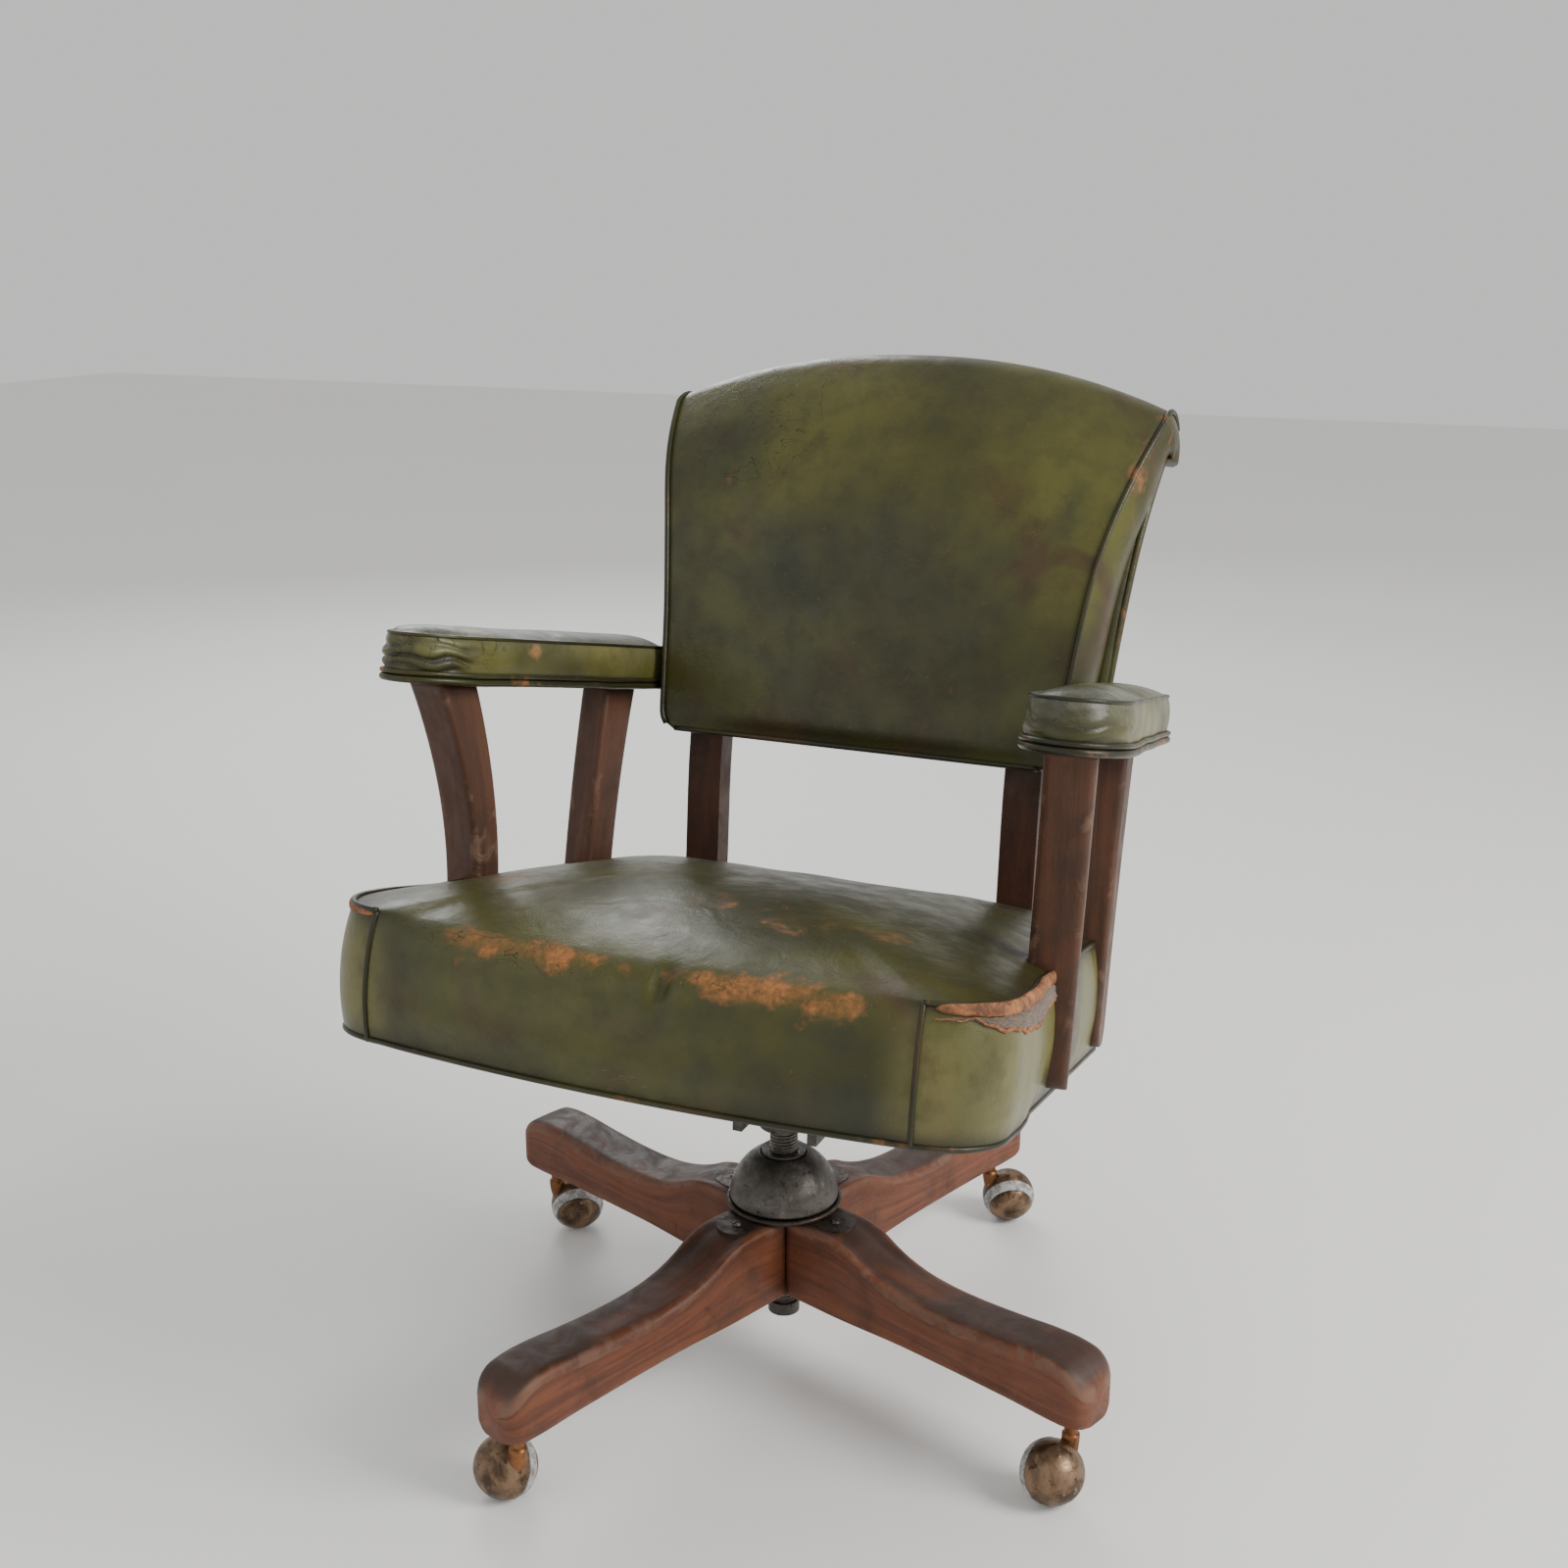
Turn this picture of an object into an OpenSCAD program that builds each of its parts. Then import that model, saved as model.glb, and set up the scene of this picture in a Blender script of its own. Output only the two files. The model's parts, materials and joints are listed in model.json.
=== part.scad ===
// Swivel office chair: walnut cross base on ball casters, screw spindle with a
// domed nut, spring tilt, upholstered seat and back, curved wooden arms.
// Millimetres, +Z up, the sitter faces -Y. The origin is on the floor, on the
// swivel axis. The seat and back are drawn level and then reclined as one.

/* [Seat] */
// Width across the seat rails at the front
seat_w = 514; // [480:1:560]
// Front of the seat cushion ahead of the swivel axis
seat_front = 322; // [300:1:340]
// Rear of the seat cushion behind the swivel axis
seat_rear = 160; // [150:1:185]
// Height of the seat rails' underside above the floor, level
seat_z = 320; // [312:1:345]
// Height of the padded box from the underside to its top seam
box_h = 103; // [90:1:120]
// Rise of the cushion's crown above the top seam
crown_h = 40; // [20:1:50]
// Padding outside the side rails
pad_t = 20; // [12:1:26]
// Height of the seat rails
rail_h = 46; // [36:1:56]
// Thickness of the seat rails
rail_t = 22; // [18:1:28]
// Thickness of the seat deck
deck_t = 9; // [6:1:12]

/* [Recline] */
// Backward slope of the seat and back at rest, degrees
recline = 12.33; // [6:0.1:14]
// Height of the tilt axle above the floor
tilt_z = 262; // [258:1:268]
// Place of the tilt axle behind the swivel axis
tilt_y = 16; // [10:1:22]
// Diameter of the tilt axle
axle_d = 16; // [12:0.5:18]

/* [Arms] */
// Height of the underside of the arm boards
arm_z = 597; // [570:1:620]
// Width of the front arm posts
post_w = 39; // [32:1:42]
// Width of the rear arm posts
rear_post_w = 31; // [26:1:34]
// Depth of the arm posts, front to back
post_d = 38; // [32:1:44]
// Length of the arm boards
arm_len = 352; // [320:1:400]
// Width of the arm pads
arm_w = 80; // [70:1:88]
// Thickness of the arm boards
arm_board_t = 12; // [10:1:18]
// Thickness of the arm pads
arm_pad_t = 38; // [30:1:50]

/* [Back] */
// Width of the back across its lower corners
back_w = 368; // [330:1:400]
// Width of the back across its upper corners
back_top_w = 468; // [420:1:500]
// Height of the back's lower edge
back_z = 561; // [540:1:590]
// Height from the lower edge to the top of the back
back_h = 383; // [340:1:420]
// Thickness of the back cushion
back_t = 52; // [40:1:60]
// Thickness of the board behind the back cushion
board_t = 9; // [6:1:12]
// Thickness of the padded outside back panel
panel_t = 13; // [8:1:18]
// Width of the back uprights
upright_w = 34; // [28:1:40]
// Thickness of the back uprights
upright_t = 24; // [18:1:26]

/* [Base] */
// Reach of the legs from the swivel axis
leg_reach = 340; // [310:1:380]
// Width of the legs
leg_w = 53; // [46:1:58]
// Height of the legs' top at the hub
leg_top = 150; // [140:1:156]
// Height of the legs' underside
leg_bottom = 74; // [70:1:80]
// Turn of the base at rest, degrees
base_turn = -18.8; // [-45:0.1:45]
// Radius from the swivel axis to the caster stems
caster_r = 316; // [290:1:322]

/* [Hub and spindle] */
// Diameter of the spindle's thread
spindle_d = 25.4; // [22:0.2:27]
// Pitch of the spindle's thread
pitch = 3.175; // [2.5:0.025:4.5]
// Diameter of the domed nut
dome_d = 98; // [90:1:104]
// Outside diameter of the hub barrel
barrel_d = 38; // [36:1:42]

/* [Casters] */
// Diameter of the ball casters
ball_d = 54; // [46:1:58]
// Distance from the stem's axis to the ball's centre
trail = 20; // [16:1:22]
// Downward slope of the caster axle, degrees
axle_slope = 20; // [15:1:25]
// Diameter of the caster stems
stem_d = 11; // [9:0.5:13]

/* [Hidden] */

walnut = "#6b3a28";
dark_walnut = "#4a3329";
iron = "#3c3a38";
bronze = "#7a6248";
leather = "#4a5230";
steel = "#8d8b86";
big = 900;

// running clearance between a shaft and its bore, and gap between pieces
run = 0.06;
gap = 0.4;
fine = 48;

// driving places worked out from the sizes above
rail_taper = 0.055;
rail_x0 = seat_w / 2 - 16;
edge_roll = 46;
rail_front = seat_front - edge_roll;
rail_rear = seat_rear - 14;
rail_top = seat_z + rail_h;
cushion_top = seat_z + box_h + crown_h;
foot_z = seat_z + 12;
bolt_d = 8;

function arc(cx, cy, r, a0, a1, n = 8) =
    [for (i = [0:n]) [cx + r * cos(a0 + (a1 - a0) * i / n), cy + r * sin(a0 + (a1 - a0) * i / n)]];
function mirrored(points) = [for (i = [len(points) - 1:-1:0]) [-points[i][0], points[i][1]]];
// half width of the seat rails at a distance y behind the swivel axis
function rail_x(y) = rail_x0 - rail_taper * y;

// the seat and back, drawn level, lie back about the level of the seat
recline_z = 339;
module reclined() {
    translate([0, 0, recline_z]) rotate([-recline, 0, 0]) translate([0, 0, -recline_z]) children();
}
// a point given upright at rest, taken into the level seat's own frame
function to_seat(y, z) = [cos(recline) * y - sin(recline) * (z - recline_z),
    sin(recline) * y + cos(recline) * (z - recline_z) + recline_z];
axle_seat = to_seat(tilt_y, tilt_z);

// ---------------------------------------------------------------- base legs
leg_mid = leg_top - 28;
leg_land = 78;
hub_bore = barrel_d / 2 + gap;
socket_depth = 34;
socket_hole_d = stem_d + 5;
function leg_profile() = concat(
    [[0, leg_bottom - 2], [leg_reach, leg_bottom]],
    arc(leg_reach - 22, leg_mid - 14, 22, 0, 90),
    [[leg_reach - 60, leg_mid + 9]],
    [[leg_reach - 100, leg_mid + 4], [leg_reach - 150, leg_mid]],
    [for (i = [0:8]) let (t = i / 8) [leg_land + 70 * (1 - t), leg_mid + (leg_top - leg_mid) * t * t]],
    [[0, leg_top]]);
module leg(k) {
    color(walnut) rotate([0, 0, base_turn + 90 * k]) difference() {
        intersection() {
            rotate([90, 0, 0]) translate([0, 0, -leg_w / 2]) linear_extrude(leg_w) polygon(leg_profile());
            linear_extrude(big) polygon(concat([[gap, 0], [leg_w / 2 + gap, -leg_w / 2]],
                arc(leg_reach - 18, -leg_w / 2 + 18, 18, -90, 0),
                arc(leg_reach - 18, leg_w / 2 - 18, 18, 0, 90), [[leg_w / 2 + gap, leg_w / 2]]));
        }
        cylinder(r = hub_bore, h = big, $fn = fine);
        translate([caster_r, 0, 0]) cylinder(d = socket_hole_d, h = leg_bottom + socket_depth, $fn = fine);
        translate([lobe_r, 0, leg_top - lobe_screw_l]) cylinder(d = lobe_hole_d, h = big, $fn = fine);
        translate([0, 0, leg_top - 3]) spider(gap / 2);
    }
}

// ------------------------------------------------- hub casting and bearing
lobe_r = 62;
lobe_d = 36;
lobe_screw_l = 30;
lobe_screw_d = 5;
lobe_hole_d = lobe_screw_d + 0.4;
plate_t = 3;
plate_r = 46;
module spider(grow = 0) {
    cylinder(r = plate_r + grow, h = plate_t + grow, $fn = fine);
    for (k = [0:3]) rotate([0, 0, 90 * k]) {
        translate([lobe_r, 0, 0]) cylinder(d = lobe_d + 2 * grow, h = plate_t + grow, $fn = fine);
        translate([0, -lobe_d / 2 - grow, 0]) cube([lobe_r, lobe_d + 2 * grow, plate_t + grow]);
    }
}
barrel_bottom = leg_bottom - 6;
barrel_bore = spindle_d / 2 + 2.2;
module hub_casting() {
    color(iron) rotate([0, 0, base_turn]) difference() {
        union() {
            translate([0, 0, leg_top - plate_t]) spider();
            translate([0, 0, barrel_bottom]) cylinder(d = barrel_d, h = leg_top - barrel_bottom, $fn = fine);
        }
        cylinder(r = barrel_bore, h = big, $fn = fine);
        for (k = [0:3]) rotate([0, 0, 90 * k]) translate([lobe_r, 0, leg_top - plate_t - 1])
            cylinder(d = lobe_hole_d, h = 9, $fn = fine);
    }
}
module hub_screws() {
    color(steel) rotate([0, 0, base_turn]) for (k = [0:3]) rotate([0, 0, 90 * k])
        translate([lobe_r, 0, 0]) difference() {
            union() {
                translate([0, 0, leg_top - lobe_screw_l + 2])
                    cylinder(d = lobe_screw_d, h = lobe_screw_l - 2, $fn = fine);
                translate([0, 0, leg_top]) cylinder(d1 = 9, d2 = 7, h = 2, $fn = fine);
            }
            translate([-6, -0.6, leg_top + 1]) cube([12, 1.2, 4]);
        }
}
cup_z = leg_top;
cup_d = dome_d + 6;
ball_race_r = 32;
race_ball_d = 6;
race_z = cup_z + 1 + race_ball_d / 2;
race_groove_d = race_ball_d + 0.2;
module bearing_cup() {
    color(iron) rotate_extrude($fn = 96) difference() {
        polygon([[barrel_bore, cup_z], [cup_d / 2 - 2, cup_z], [cup_d / 2, cup_z + 2],
            [cup_d / 2 - 1, cup_z + 4],
            [cup_d / 2 - 4, cup_z + 3], [barrel_bore, cup_z + 3]]);
        translate([ball_race_r, race_z]) circle(d = race_groove_d, $fn = 32);
    }
}

// -------------------------------------------------------- domed spindle nut
dome_z = cup_z + 4.6;
nut_bore = spindle_d / 2 + 0.3;
dome_top = dome_z + dome_d / 2;
recess_depth = 6;
recess_r = spindle_d / 2 + 8;
dome_wall = 7;
module dome_nut() {
    color(iron) rotate_extrude($fn = 96) difference() {
        union() {
            intersection() {
                translate([0, dome_z]) circle(d = dome_d, $fn = 96);
                translate([0, dome_z]) square([dome_d, dome_d]);
            }
            translate([0, dome_z - 0.6]) square([ball_race_r + 7, 6]);
        }
        translate([0, dome_z - 2]) square([nut_bore, dome_d]);
        translate([0, dome_top - recess_depth]) square([recess_r, 20]);
        translate([ball_race_r, race_z]) circle(d = race_groove_d, $fn = 32);
        difference() {
            translate([0, dome_z + 6]) circle(r = dome_d / 2 - dome_wall, $fn = 96);
            translate([0, -10]) square([recess_r + 1, big]);
            translate([0, -10]) square([big, dome_z + 17]);
        }
    }
}
race_balls = 16;
module bearing_balls() {
    color(steel) for (k = [0:race_balls - 1]) rotate([0, 0, 360 * k / race_balls])
        translate([ball_race_r, 0, race_z]) sphere(d = race_ball_d - 0.1, $fn = 24);
}
key_w = 5;
key_h = 3;
key_washer_t = 2.6;
key_z = dome_top - recess_depth + gap;
module key_washer() {
    color(steel) translate([0, 0, key_z]) {
        difference() {
            cylinder(r = recess_r - 0.5, h = key_washer_t, $fn = fine);
            translate([0, 0, -1]) cylinder(r = spindle_d / 2 + 0.35, h = 9, $fn = fine);
        }
        translate([spindle_d / 2 - key_h + 0.5, -key_w / 2 + 0.2, 0])
            cube([key_h + 2, key_w - 0.4, key_washer_t]);
    }
}

// ------------------------------------------------------- spindle and its top
thread_depth = 1.3;
spindle_bottom = 38;
thread_top = 224;
spindle_top = 236;
thread_turns = floor((thread_top - spindle_bottom - 14) / pitch);
yoke_pin_d = 6;
stop_pin_d = 2.9;
stop_pin_z = spindle_bottom + 6;
module spindle() {
    color(steel) difference() {
        rotate_extrude($fn = fine) polygon(concat([[0, spindle_bottom], [spindle_d / 2 - 2, spindle_bottom],
            [spindle_d / 2 - 1.5, spindle_bottom + 12]],
            [for (i = [0:thread_turns - 1], s = [0:3]) let (z = thread_top - pitch * (thread_turns - i))
                [spindle_d / 2 - (s == 0 || s == 3 ? thread_depth : 0),
                    z + pitch * [0.1, 0.35, 0.65, 0.9][s]]],
            [[spindle_d / 2 - 1, thread_top], [spindle_d / 2 - 1, spindle_top], [0, spindle_top]]));
        translate([spindle_d / 2 - key_h, -key_w / 2, spindle_bottom + 20])
            cube([9, key_w, thread_top - spindle_bottom - 26]);
        translate([-30, 0, yoke_pin_z]) rotate([0, 90, 0]) cylinder(d = yoke_pin_d + 0.1, h = 60, $fn = fine);
        translate([-30, 0, stop_pin_z]) rotate([0, 90, 0]) cylinder(d = stop_pin_d + 0.1, h = 60, $fn = fine);
    }
}
stop_d = spindle_d + 3.4;
module spindle_stop_collar() {
    color(iron) {
        translate([0, 0, spindle_bottom + 0.2]) difference() {
            cylinder(d = stop_d, h = 11, $fn = fine);
            translate([0, 0, -1]) cylinder(r = spindle_d / 2 - thread_depth - 0.14, h = 20, $fn = fine);
        }
        translate([-stop_d / 2 + 0.5, 0, stop_pin_z]) rotate([0, 90, 0])
            cylinder(d = stop_pin_d, h = stop_d - 1, $fn = fine);
    }
}
// the yoke: a boss on the spindle, two cheeks and an arm for the tension bolt
yoke_pin_z = 229;
cheek_x = 36;
cheek_t = 9;
yoke_low = 220;
yoke_boss_d = 44;
yoke_arm_w = 26;
arm_eye_d = 40;
arm_hole_d = 22;
arm_y = 92;
arm_low = 240;
arm_t = 10;
module yoke_outline() {
    polygon(concat([[-22, yoke_low], [10, yoke_low]], arc(tilt_y, tilt_z, axle_d / 2 + 8, -60, 180),
        [[-18, tilt_z - 18], [-22, yoke_low + 6]]));
}
module tilt_yoke() {
    color(iron) difference() {
        union() {
            translate([0, 0, thread_top + 0.3]) cylinder(d = yoke_boss_d, h = 20, $fn = fine);
            for (s = [-1, 1]) translate([s * cheek_x - cheek_t / 2, 0, 0]) rotate([90, 0, 90])
                linear_extrude(cheek_t) yoke_outline();
            translate([-cheek_x, -14, thread_top + 4]) cube([2 * cheek_x, 26, 12]);
            translate([-yoke_arm_w / 2, 0, arm_low]) cube([yoke_arm_w, arm_y, arm_t]);
            translate([0, arm_y, arm_low]) cylinder(d = arm_eye_d, h = arm_t, $fn = fine);
        }
        translate([0, 0, thread_top - 1])
            cylinder(r = spindle_d / 2 - 0.94, h = spindle_top - thread_top + 1.4, $fn = fine);
        translate([-60, tilt_y, tilt_z]) rotate([0, 90, 0]) cylinder(d = axle_d + 0.1, h = 120, $fn = fine);
        translate([-30, 0, yoke_pin_z]) rotate([0, 90, 0]) cylinder(d = yoke_pin_d + 0.1, h = 60, $fn = fine);
        translate([0, arm_y, arm_low]) cylinder(d = arm_hole_d, h = 60, center = true, $fn = fine);
    }
}
module yoke_pin() {
    color(steel) translate([-yoke_boss_d / 2 - 1, 0, yoke_pin_z]) rotate([0, 90, 0])
        cylinder(d = yoke_pin_d, h = yoke_boss_d + 2, $fn = fine);
}
axle_half = 62;
module tilt_axle() {
    color(steel) translate([-axle_half, tilt_y, tilt_z]) rotate([0, 90, 0])
        cylinder(d = axle_d, h = 2 * axle_half, $fn = fine);
}

// ----------------------------------------------- seat irons and the tension
iron_x = 50;
iron_w = 30;
iron_t = 6;
iron_top = seat_z - gap;
iron_hole_d = 7;
tension_d = 8;
lug_reach = 46;
module iron_arm() {
    difference() {
        union() {
            translate([-iron_w / 2, -rail_front + 8, iron_top - iron_t])
                cube([iron_w, rail_front + rail_rear - 16, iron_t]);
            translate([-4, 0, 0]) rotate([90, 0, 90]) linear_extrude(9) polygon(concat(
                [[axle_seat[0] - lug_reach, iron_top - 1]],
                    arc(axle_seat[0], axle_seat[1], axle_d / 2 + 8, 190, 350),
                [[axle_seat[0] + lug_reach, iron_top - 1]]));
        }
        translate([-30, axle_seat[0], axle_seat[1]]) rotate([0, 90, 0])
            cylinder(d = axle_d + 2 * run, h = 60, $fn = fine);
        for (y = iron_bolt_ys) translate([0, y, 0]) cylinder(d = iron_hole_d, h = big, $fn = fine);
    }
}
iron_bolt_ys = [-rail_front + 8 + rail_t / 2, rail_rear - 8 - rail_t / 2];
bar_y = to_seat(arm_y, arm_low)[0];
module seat_irons() {
    color(iron) reclined() {
        for (s = [-1, 1]) translate([s * iron_x, 0, 0]) iron_arm();
        difference() {
            translate([-iron_x + iron_w / 2 - 1, bar_y - 17, iron_top - iron_t])
                cube([2 * iron_x - iron_w + 2, 34, iron_t]);
            translate([0, bar_y, 0]) cylinder(d = tension_d + 0.4, h = big, $fn = fine);
        }
    }
}
module iron_bolts() {
    color(steel) reclined() for (s = [-1, 1], y = iron_bolt_ys) translate([s * iron_x, y, 0]) {
        translate([0, 0, iron_top - iron_t - 5]) cylinder(d = 14, h = 4.8, $fn = 6);
        translate([0, 0, iron_top - iron_t - 1]) cylinder(d = iron_hole_d - 0.4, h = iron_t + 30, $fn = fine);
    }
}
bolt_low = to_seat(arm_y, arm_low)[1] - 44;
module tension_bolt() {
    color(steel) reclined() translate([0, bar_y, 0]) {
        translate([0, 0, bolt_low]) cylinder(d = tension_d, h = iron_top + 0.2 - bolt_low, $fn = fine);
        translate([0, 0, iron_top + 0.2]) cylinder(d = 2 * tension_d, h = 5, $fn = 6);
    }
}
knob_z = bolt_low + 1;
knob_h = 12;
knob_r = 17;
washer_t = 2.4;
module tension_knob() {
    color(bronze) reclined() translate([0, bar_y, knob_z]) difference() {
        union() {
            cylinder(r = knob_r, h = knob_h, $fn = fine);
            for (k = [0:5]) rotate([0, 0, 60 * k]) translate([knob_r - 1, 0, 0])
                cylinder(d = 8, h = knob_h, $fn = 24);
        }
        translate([0, 0, -1]) cylinder(d = tension_d + 2 * run, h = 40, $fn = fine);
    }
}
washer_z = knob_z + knob_h + 0.4;
module spring_washer() {
    color(steel) reclined() translate([0, bar_y, washer_z]) difference() {
        cylinder(r = knob_r - 2, h = washer_t, $fn = fine);
        translate([0, 0, -1]) cylinder(d = tension_d + 0.6, h = 9, $fn = fine);
    }
}

// -------------------------------------------------------- seat frame pieces
module side_rail(s) {
    difference() {
        linear_extrude(rail_h)
            polygon([[s * rail_x(-rail_front), -rail_front], [s * rail_x(rail_rear), rail_rear],
            [s * (rail_x(rail_rear) - rail_t), rail_rear],
                [s * (rail_x(-rail_front) - rail_t), -rail_front]]);
        for (y = post_y) translate([s * (rail_x(y) - rail_t - 5), y, post_bolt_z - seat_z])
            rotate([0, s * 90, 0])
            cylinder(d = bolt_d, h = rail_t + 30, $fn = fine);
    }
}
post_y = [-100, 84];
post_bolt_z = seat_z + 27;
module seat_side_rails() {
    color(dark_walnut) reclined() translate([0, 0, seat_z]) for (s = [-1, 1]) side_rail(s);
}
module cross_rail(y0, y1) {
    x0 = rail_x(y0) - rail_t - gap;
    x1 = rail_x(y1) - rail_t - gap;
    linear_extrude(rail_h) polygon([[-x0, y0], [x0, y0], [x1, y1], [-x1, y1]]);
}
module seat_cross_rails() {
    color(dark_walnut) reclined() difference() {
        translate([0, 0, seat_z]) {
            cross_rail(-rail_front, -rail_front + rail_t);
            cross_rail(rail_rear - rail_t, rail_rear);
        }
        for (s = [-1, 1]) {
            for (y = iron_bolt_ys) translate([s * iron_x, y, seat_z - 1])
                cylinder(d = iron_hole_d, h = 31, $fn = fine);
            translate([s * upright_x, rail_rear - rail_t - 5, seat_z + rail_h / 2]) rotate([-90, 0, 0])
                cylinder(d = bolt_d, h = 60, $fn = fine);
        }
    }
}
module seat_deck() {
    color("#8a6f4c") reclined() translate([0, 0, rail_top + gap]) linear_extrude(deck_t) polygon([
        [-rail_x(-rail_front), -rail_front], [rail_x(-rail_front), -rail_front],
        [rail_x(rail_rear), rail_rear], [-rail_x(rail_rear), rail_rear]]);
}
cover_z = seat_z + 8;
module dust_cover() {
    y0 = -rail_front + rail_t + gap;
    y1 = rail_rear - rail_t - gap;
    x0 = rail_x(y0) - rail_t - gap;
    x1 = rail_x(y1) - rail_t - gap;
    color("#22201e") reclined() translate([0, 0, cover_z]) linear_extrude(2)
        polygon([[-x0, y0], [x0, y0], [x1, y1], [-x1, y1]]);
}

// --------------------------------------------------------------- the cushion
corner_r = 62;
corner_x = rail_x(-seat_front + 85) + 24;
side_start = -150;
bow = 20;
function cushion_half() = concat(
    [for (i = [0:6]) let (x = (corner_x - corner_r) * i / 6) [x, -seat_front + bow * pow(i / 6, 2)]],
    arc(corner_x - corner_r, -seat_front + bow + corner_r, corner_r, -90, 0, 10),
    [[corner_x - 2, -seat_front + 122], [rail_x(side_start) + pad_t + 4, side_start - 12]],
    [[rail_x(side_start) + pad_t, side_start]],
    arc(rail_x(seat_rear) + pad_t - 45, seat_rear - 45, 45, 0, 90));
module cushion_outline() {
    polygon(concat(cushion_half(), mirrored(cushion_half())));
}
seam_z = seat_z + box_h;
module crown_side() {
    rotate([90, 0, 90]) translate([0, 0, -big / 2]) linear_extrude(big) polygon(concat(
        [[-seat_front - 20, seat_z], [-seat_front - 20, seam_z - 6]],
        [for (i = [0:10]) let (t = i / 10) [-seat_front - 2 + (seat_front + seat_rear) * t,
            seam_z + crown_h * pow(sin(25 + 130 * t), 0.8)]],
        [[seat_rear + 20, seam_z - 6], [seat_rear + 20, seat_z]]));
}
module crown_front() {
    rotate([90, 0, 0]) translate([0, 0, -big / 2]) linear_extrude(big) polygon(concat(
        [[-corner_x - 10, seat_z], [-corner_x - 10, seam_z - 4]],
        [for (i = [0:10]) let (t = i / 10) [-corner_x + 2 * corner_x * t,
            seam_z + crown_h * pow(sin(180 * t), 0.7)]],
        [[corner_x + 10, seam_z - 4], [corner_x + 10, seat_z]]));
}
module seat_cushion() {
    color(leather) reclined() difference() {
        intersection() {
            translate([0, 0, seat_z + 2]) linear_extrude(cushion_top - seat_z) cushion_outline();
            crown_side();
            crown_front();
        }
        translate([0, 0, seat_z - 10]) linear_extrude(rail_h + deck_t + 2 * gap + 10) polygon([
            [-rail_x(-rail_front) - gap, -rail_front - gap], [rail_x(-rail_front) + gap, -rail_front - gap],
            [rail_x(rail_rear) + gap, rail_rear + gap], [-rail_x(rail_rear) - gap, rail_rear + gap]]);
        for (s = [-1, 1]) {
            front_post_space(s);
            rear_post_space(s);
            translate([s * upright_x - upright_w / 2 - gap, rail_rear, 0])
                cube([upright_w + 2 * gap, 90, big]);
        }
        uprights(gap);
    }
}

// ------------------------------------------------------------ the arm posts
post_top = arm_z - gap;
front_post = [rail_x(-127) + 26.5, -127];
rear_post = [rail_x(84) + 12, 84];
front_turn = 12;
rear_turn = 6;
function sweep_k(z, z0) = z > z0 ? pow((z - z0) / (post_top - z0), 2) : 0;
levels = [for (i = [0:12]) foot_z + 14 + (post_top - foot_z - 14) * i / 12];
front_bend = 380;
front_sweep = 64;
function front_post_side() = concat(
    [for (z = levels) [15 - front_sweep * sweep_k(z, front_bend), z]],
    [for (i = [12:-1:0]) let (z = levels[i])
        [15 + post_d * 0.76 + (post_d * 0.24 - front_sweep + 3) * sweep_k(z, front_bend) * 0.9, z]],
    [[15 + post_d * 0.55, foot_z + 3], [15 + post_d * 0.25, foot_z], [17, foot_z + 3]]);
rear_bend = 410;
function rear_bow(z) = pow((z - rear_bend) / (post_top - rear_bend), 2);
function rear_post_side() = concat(
    [for (z = levels) [-24 + 9 * rear_bow(z), z]],
    [for (i = [12:-1:0]) let (z = levels[i]) [-24 + post_d + 2 + 17 * rear_bow(z), z]],
    [[6, foot_z + 3], [-6, foot_z], [-18, foot_z + 3]]);
module beyond_rail(s, extra) {
    linear_extrude(big) polygon([[s * (rail_x(-400) + extra), -400], [s * 600, -400], [s * 600, 400],
        [s * (rail_x(400) + extra), 400]]);
}
module post(s, place, turn, width, inner) {
    mirror([s < 0 ? 1 : 0, 0, 0]) translate([place[0], place[1], 0]) rotate([0, 0, turn])
        translate([-inner, 0, 0])
        rotate([90, 0, 90]) linear_extrude(width) children();
}
module post_foot_cut(s) {
    difference() {
        translate([-big / 2, -big / 2, 0]) cube([big, big, seam_z + 4]);
        beyond_rail(s, gap / 2);
    }
}
module front_post_space(s) {
    post(s, front_post, front_turn, post_w + 6, 26 + 3) offset_side(front_post_side());
}
module rear_post_space(s) {
    post(s, rear_post, rear_turn, rear_post_w + 10, 16 + 5) offset_side(rear_post_side());
}
// the same side outline moved out a little on both edges
module offset_side(points) {
    n = len(points);
    polygon([for (i = [0:n - 1])
        let (p = points[i]) [p[0] + (i < 13 ? -1 : i < 26 ? 1 : 0), p[1] - (i < 26 ? 0 : 60)]]);
}
module post_bolt_bore(s, y) {
    translate([s * (rail_x(y) - 5), y, post_bolt_z]) rotate([0, s * 90, 0])
        cylinder(d = bolt_d, h = 19, $fn = fine);
}
module arm_screw_bore(s, place) {
    translate([s * place[0], place[1], post_top - 30]) cylinder(d = arm_screw_d + 0.4, h = 60, $fn = fine);
}
arm_screw_d = 5;
front_screw = [front_post[0] + 1, front_post[1] - 28];
rear_screw = [rear_post[0] - 2, rear_post[1] + 7];
module front_arm_post(s) {
    color(walnut) reclined() difference() {
        post(s, front_post, front_turn, post_w, 26) polygon(front_post_side());
        post_foot_cut(s);
        post_bolt_bore(s, post_y[0]);
        arm_screw_bore(s, front_screw);
    }
}
module rear_arm_post(s) {
    color(walnut) reclined() difference() {
        post(s, rear_post, rear_turn, rear_post_w, 16) polygon(rear_post_side());
        post_foot_cut(s);
        post_bolt_bore(s, post_y[1]);
        arm_screw_bore(s, rear_screw);
    }
}
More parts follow.
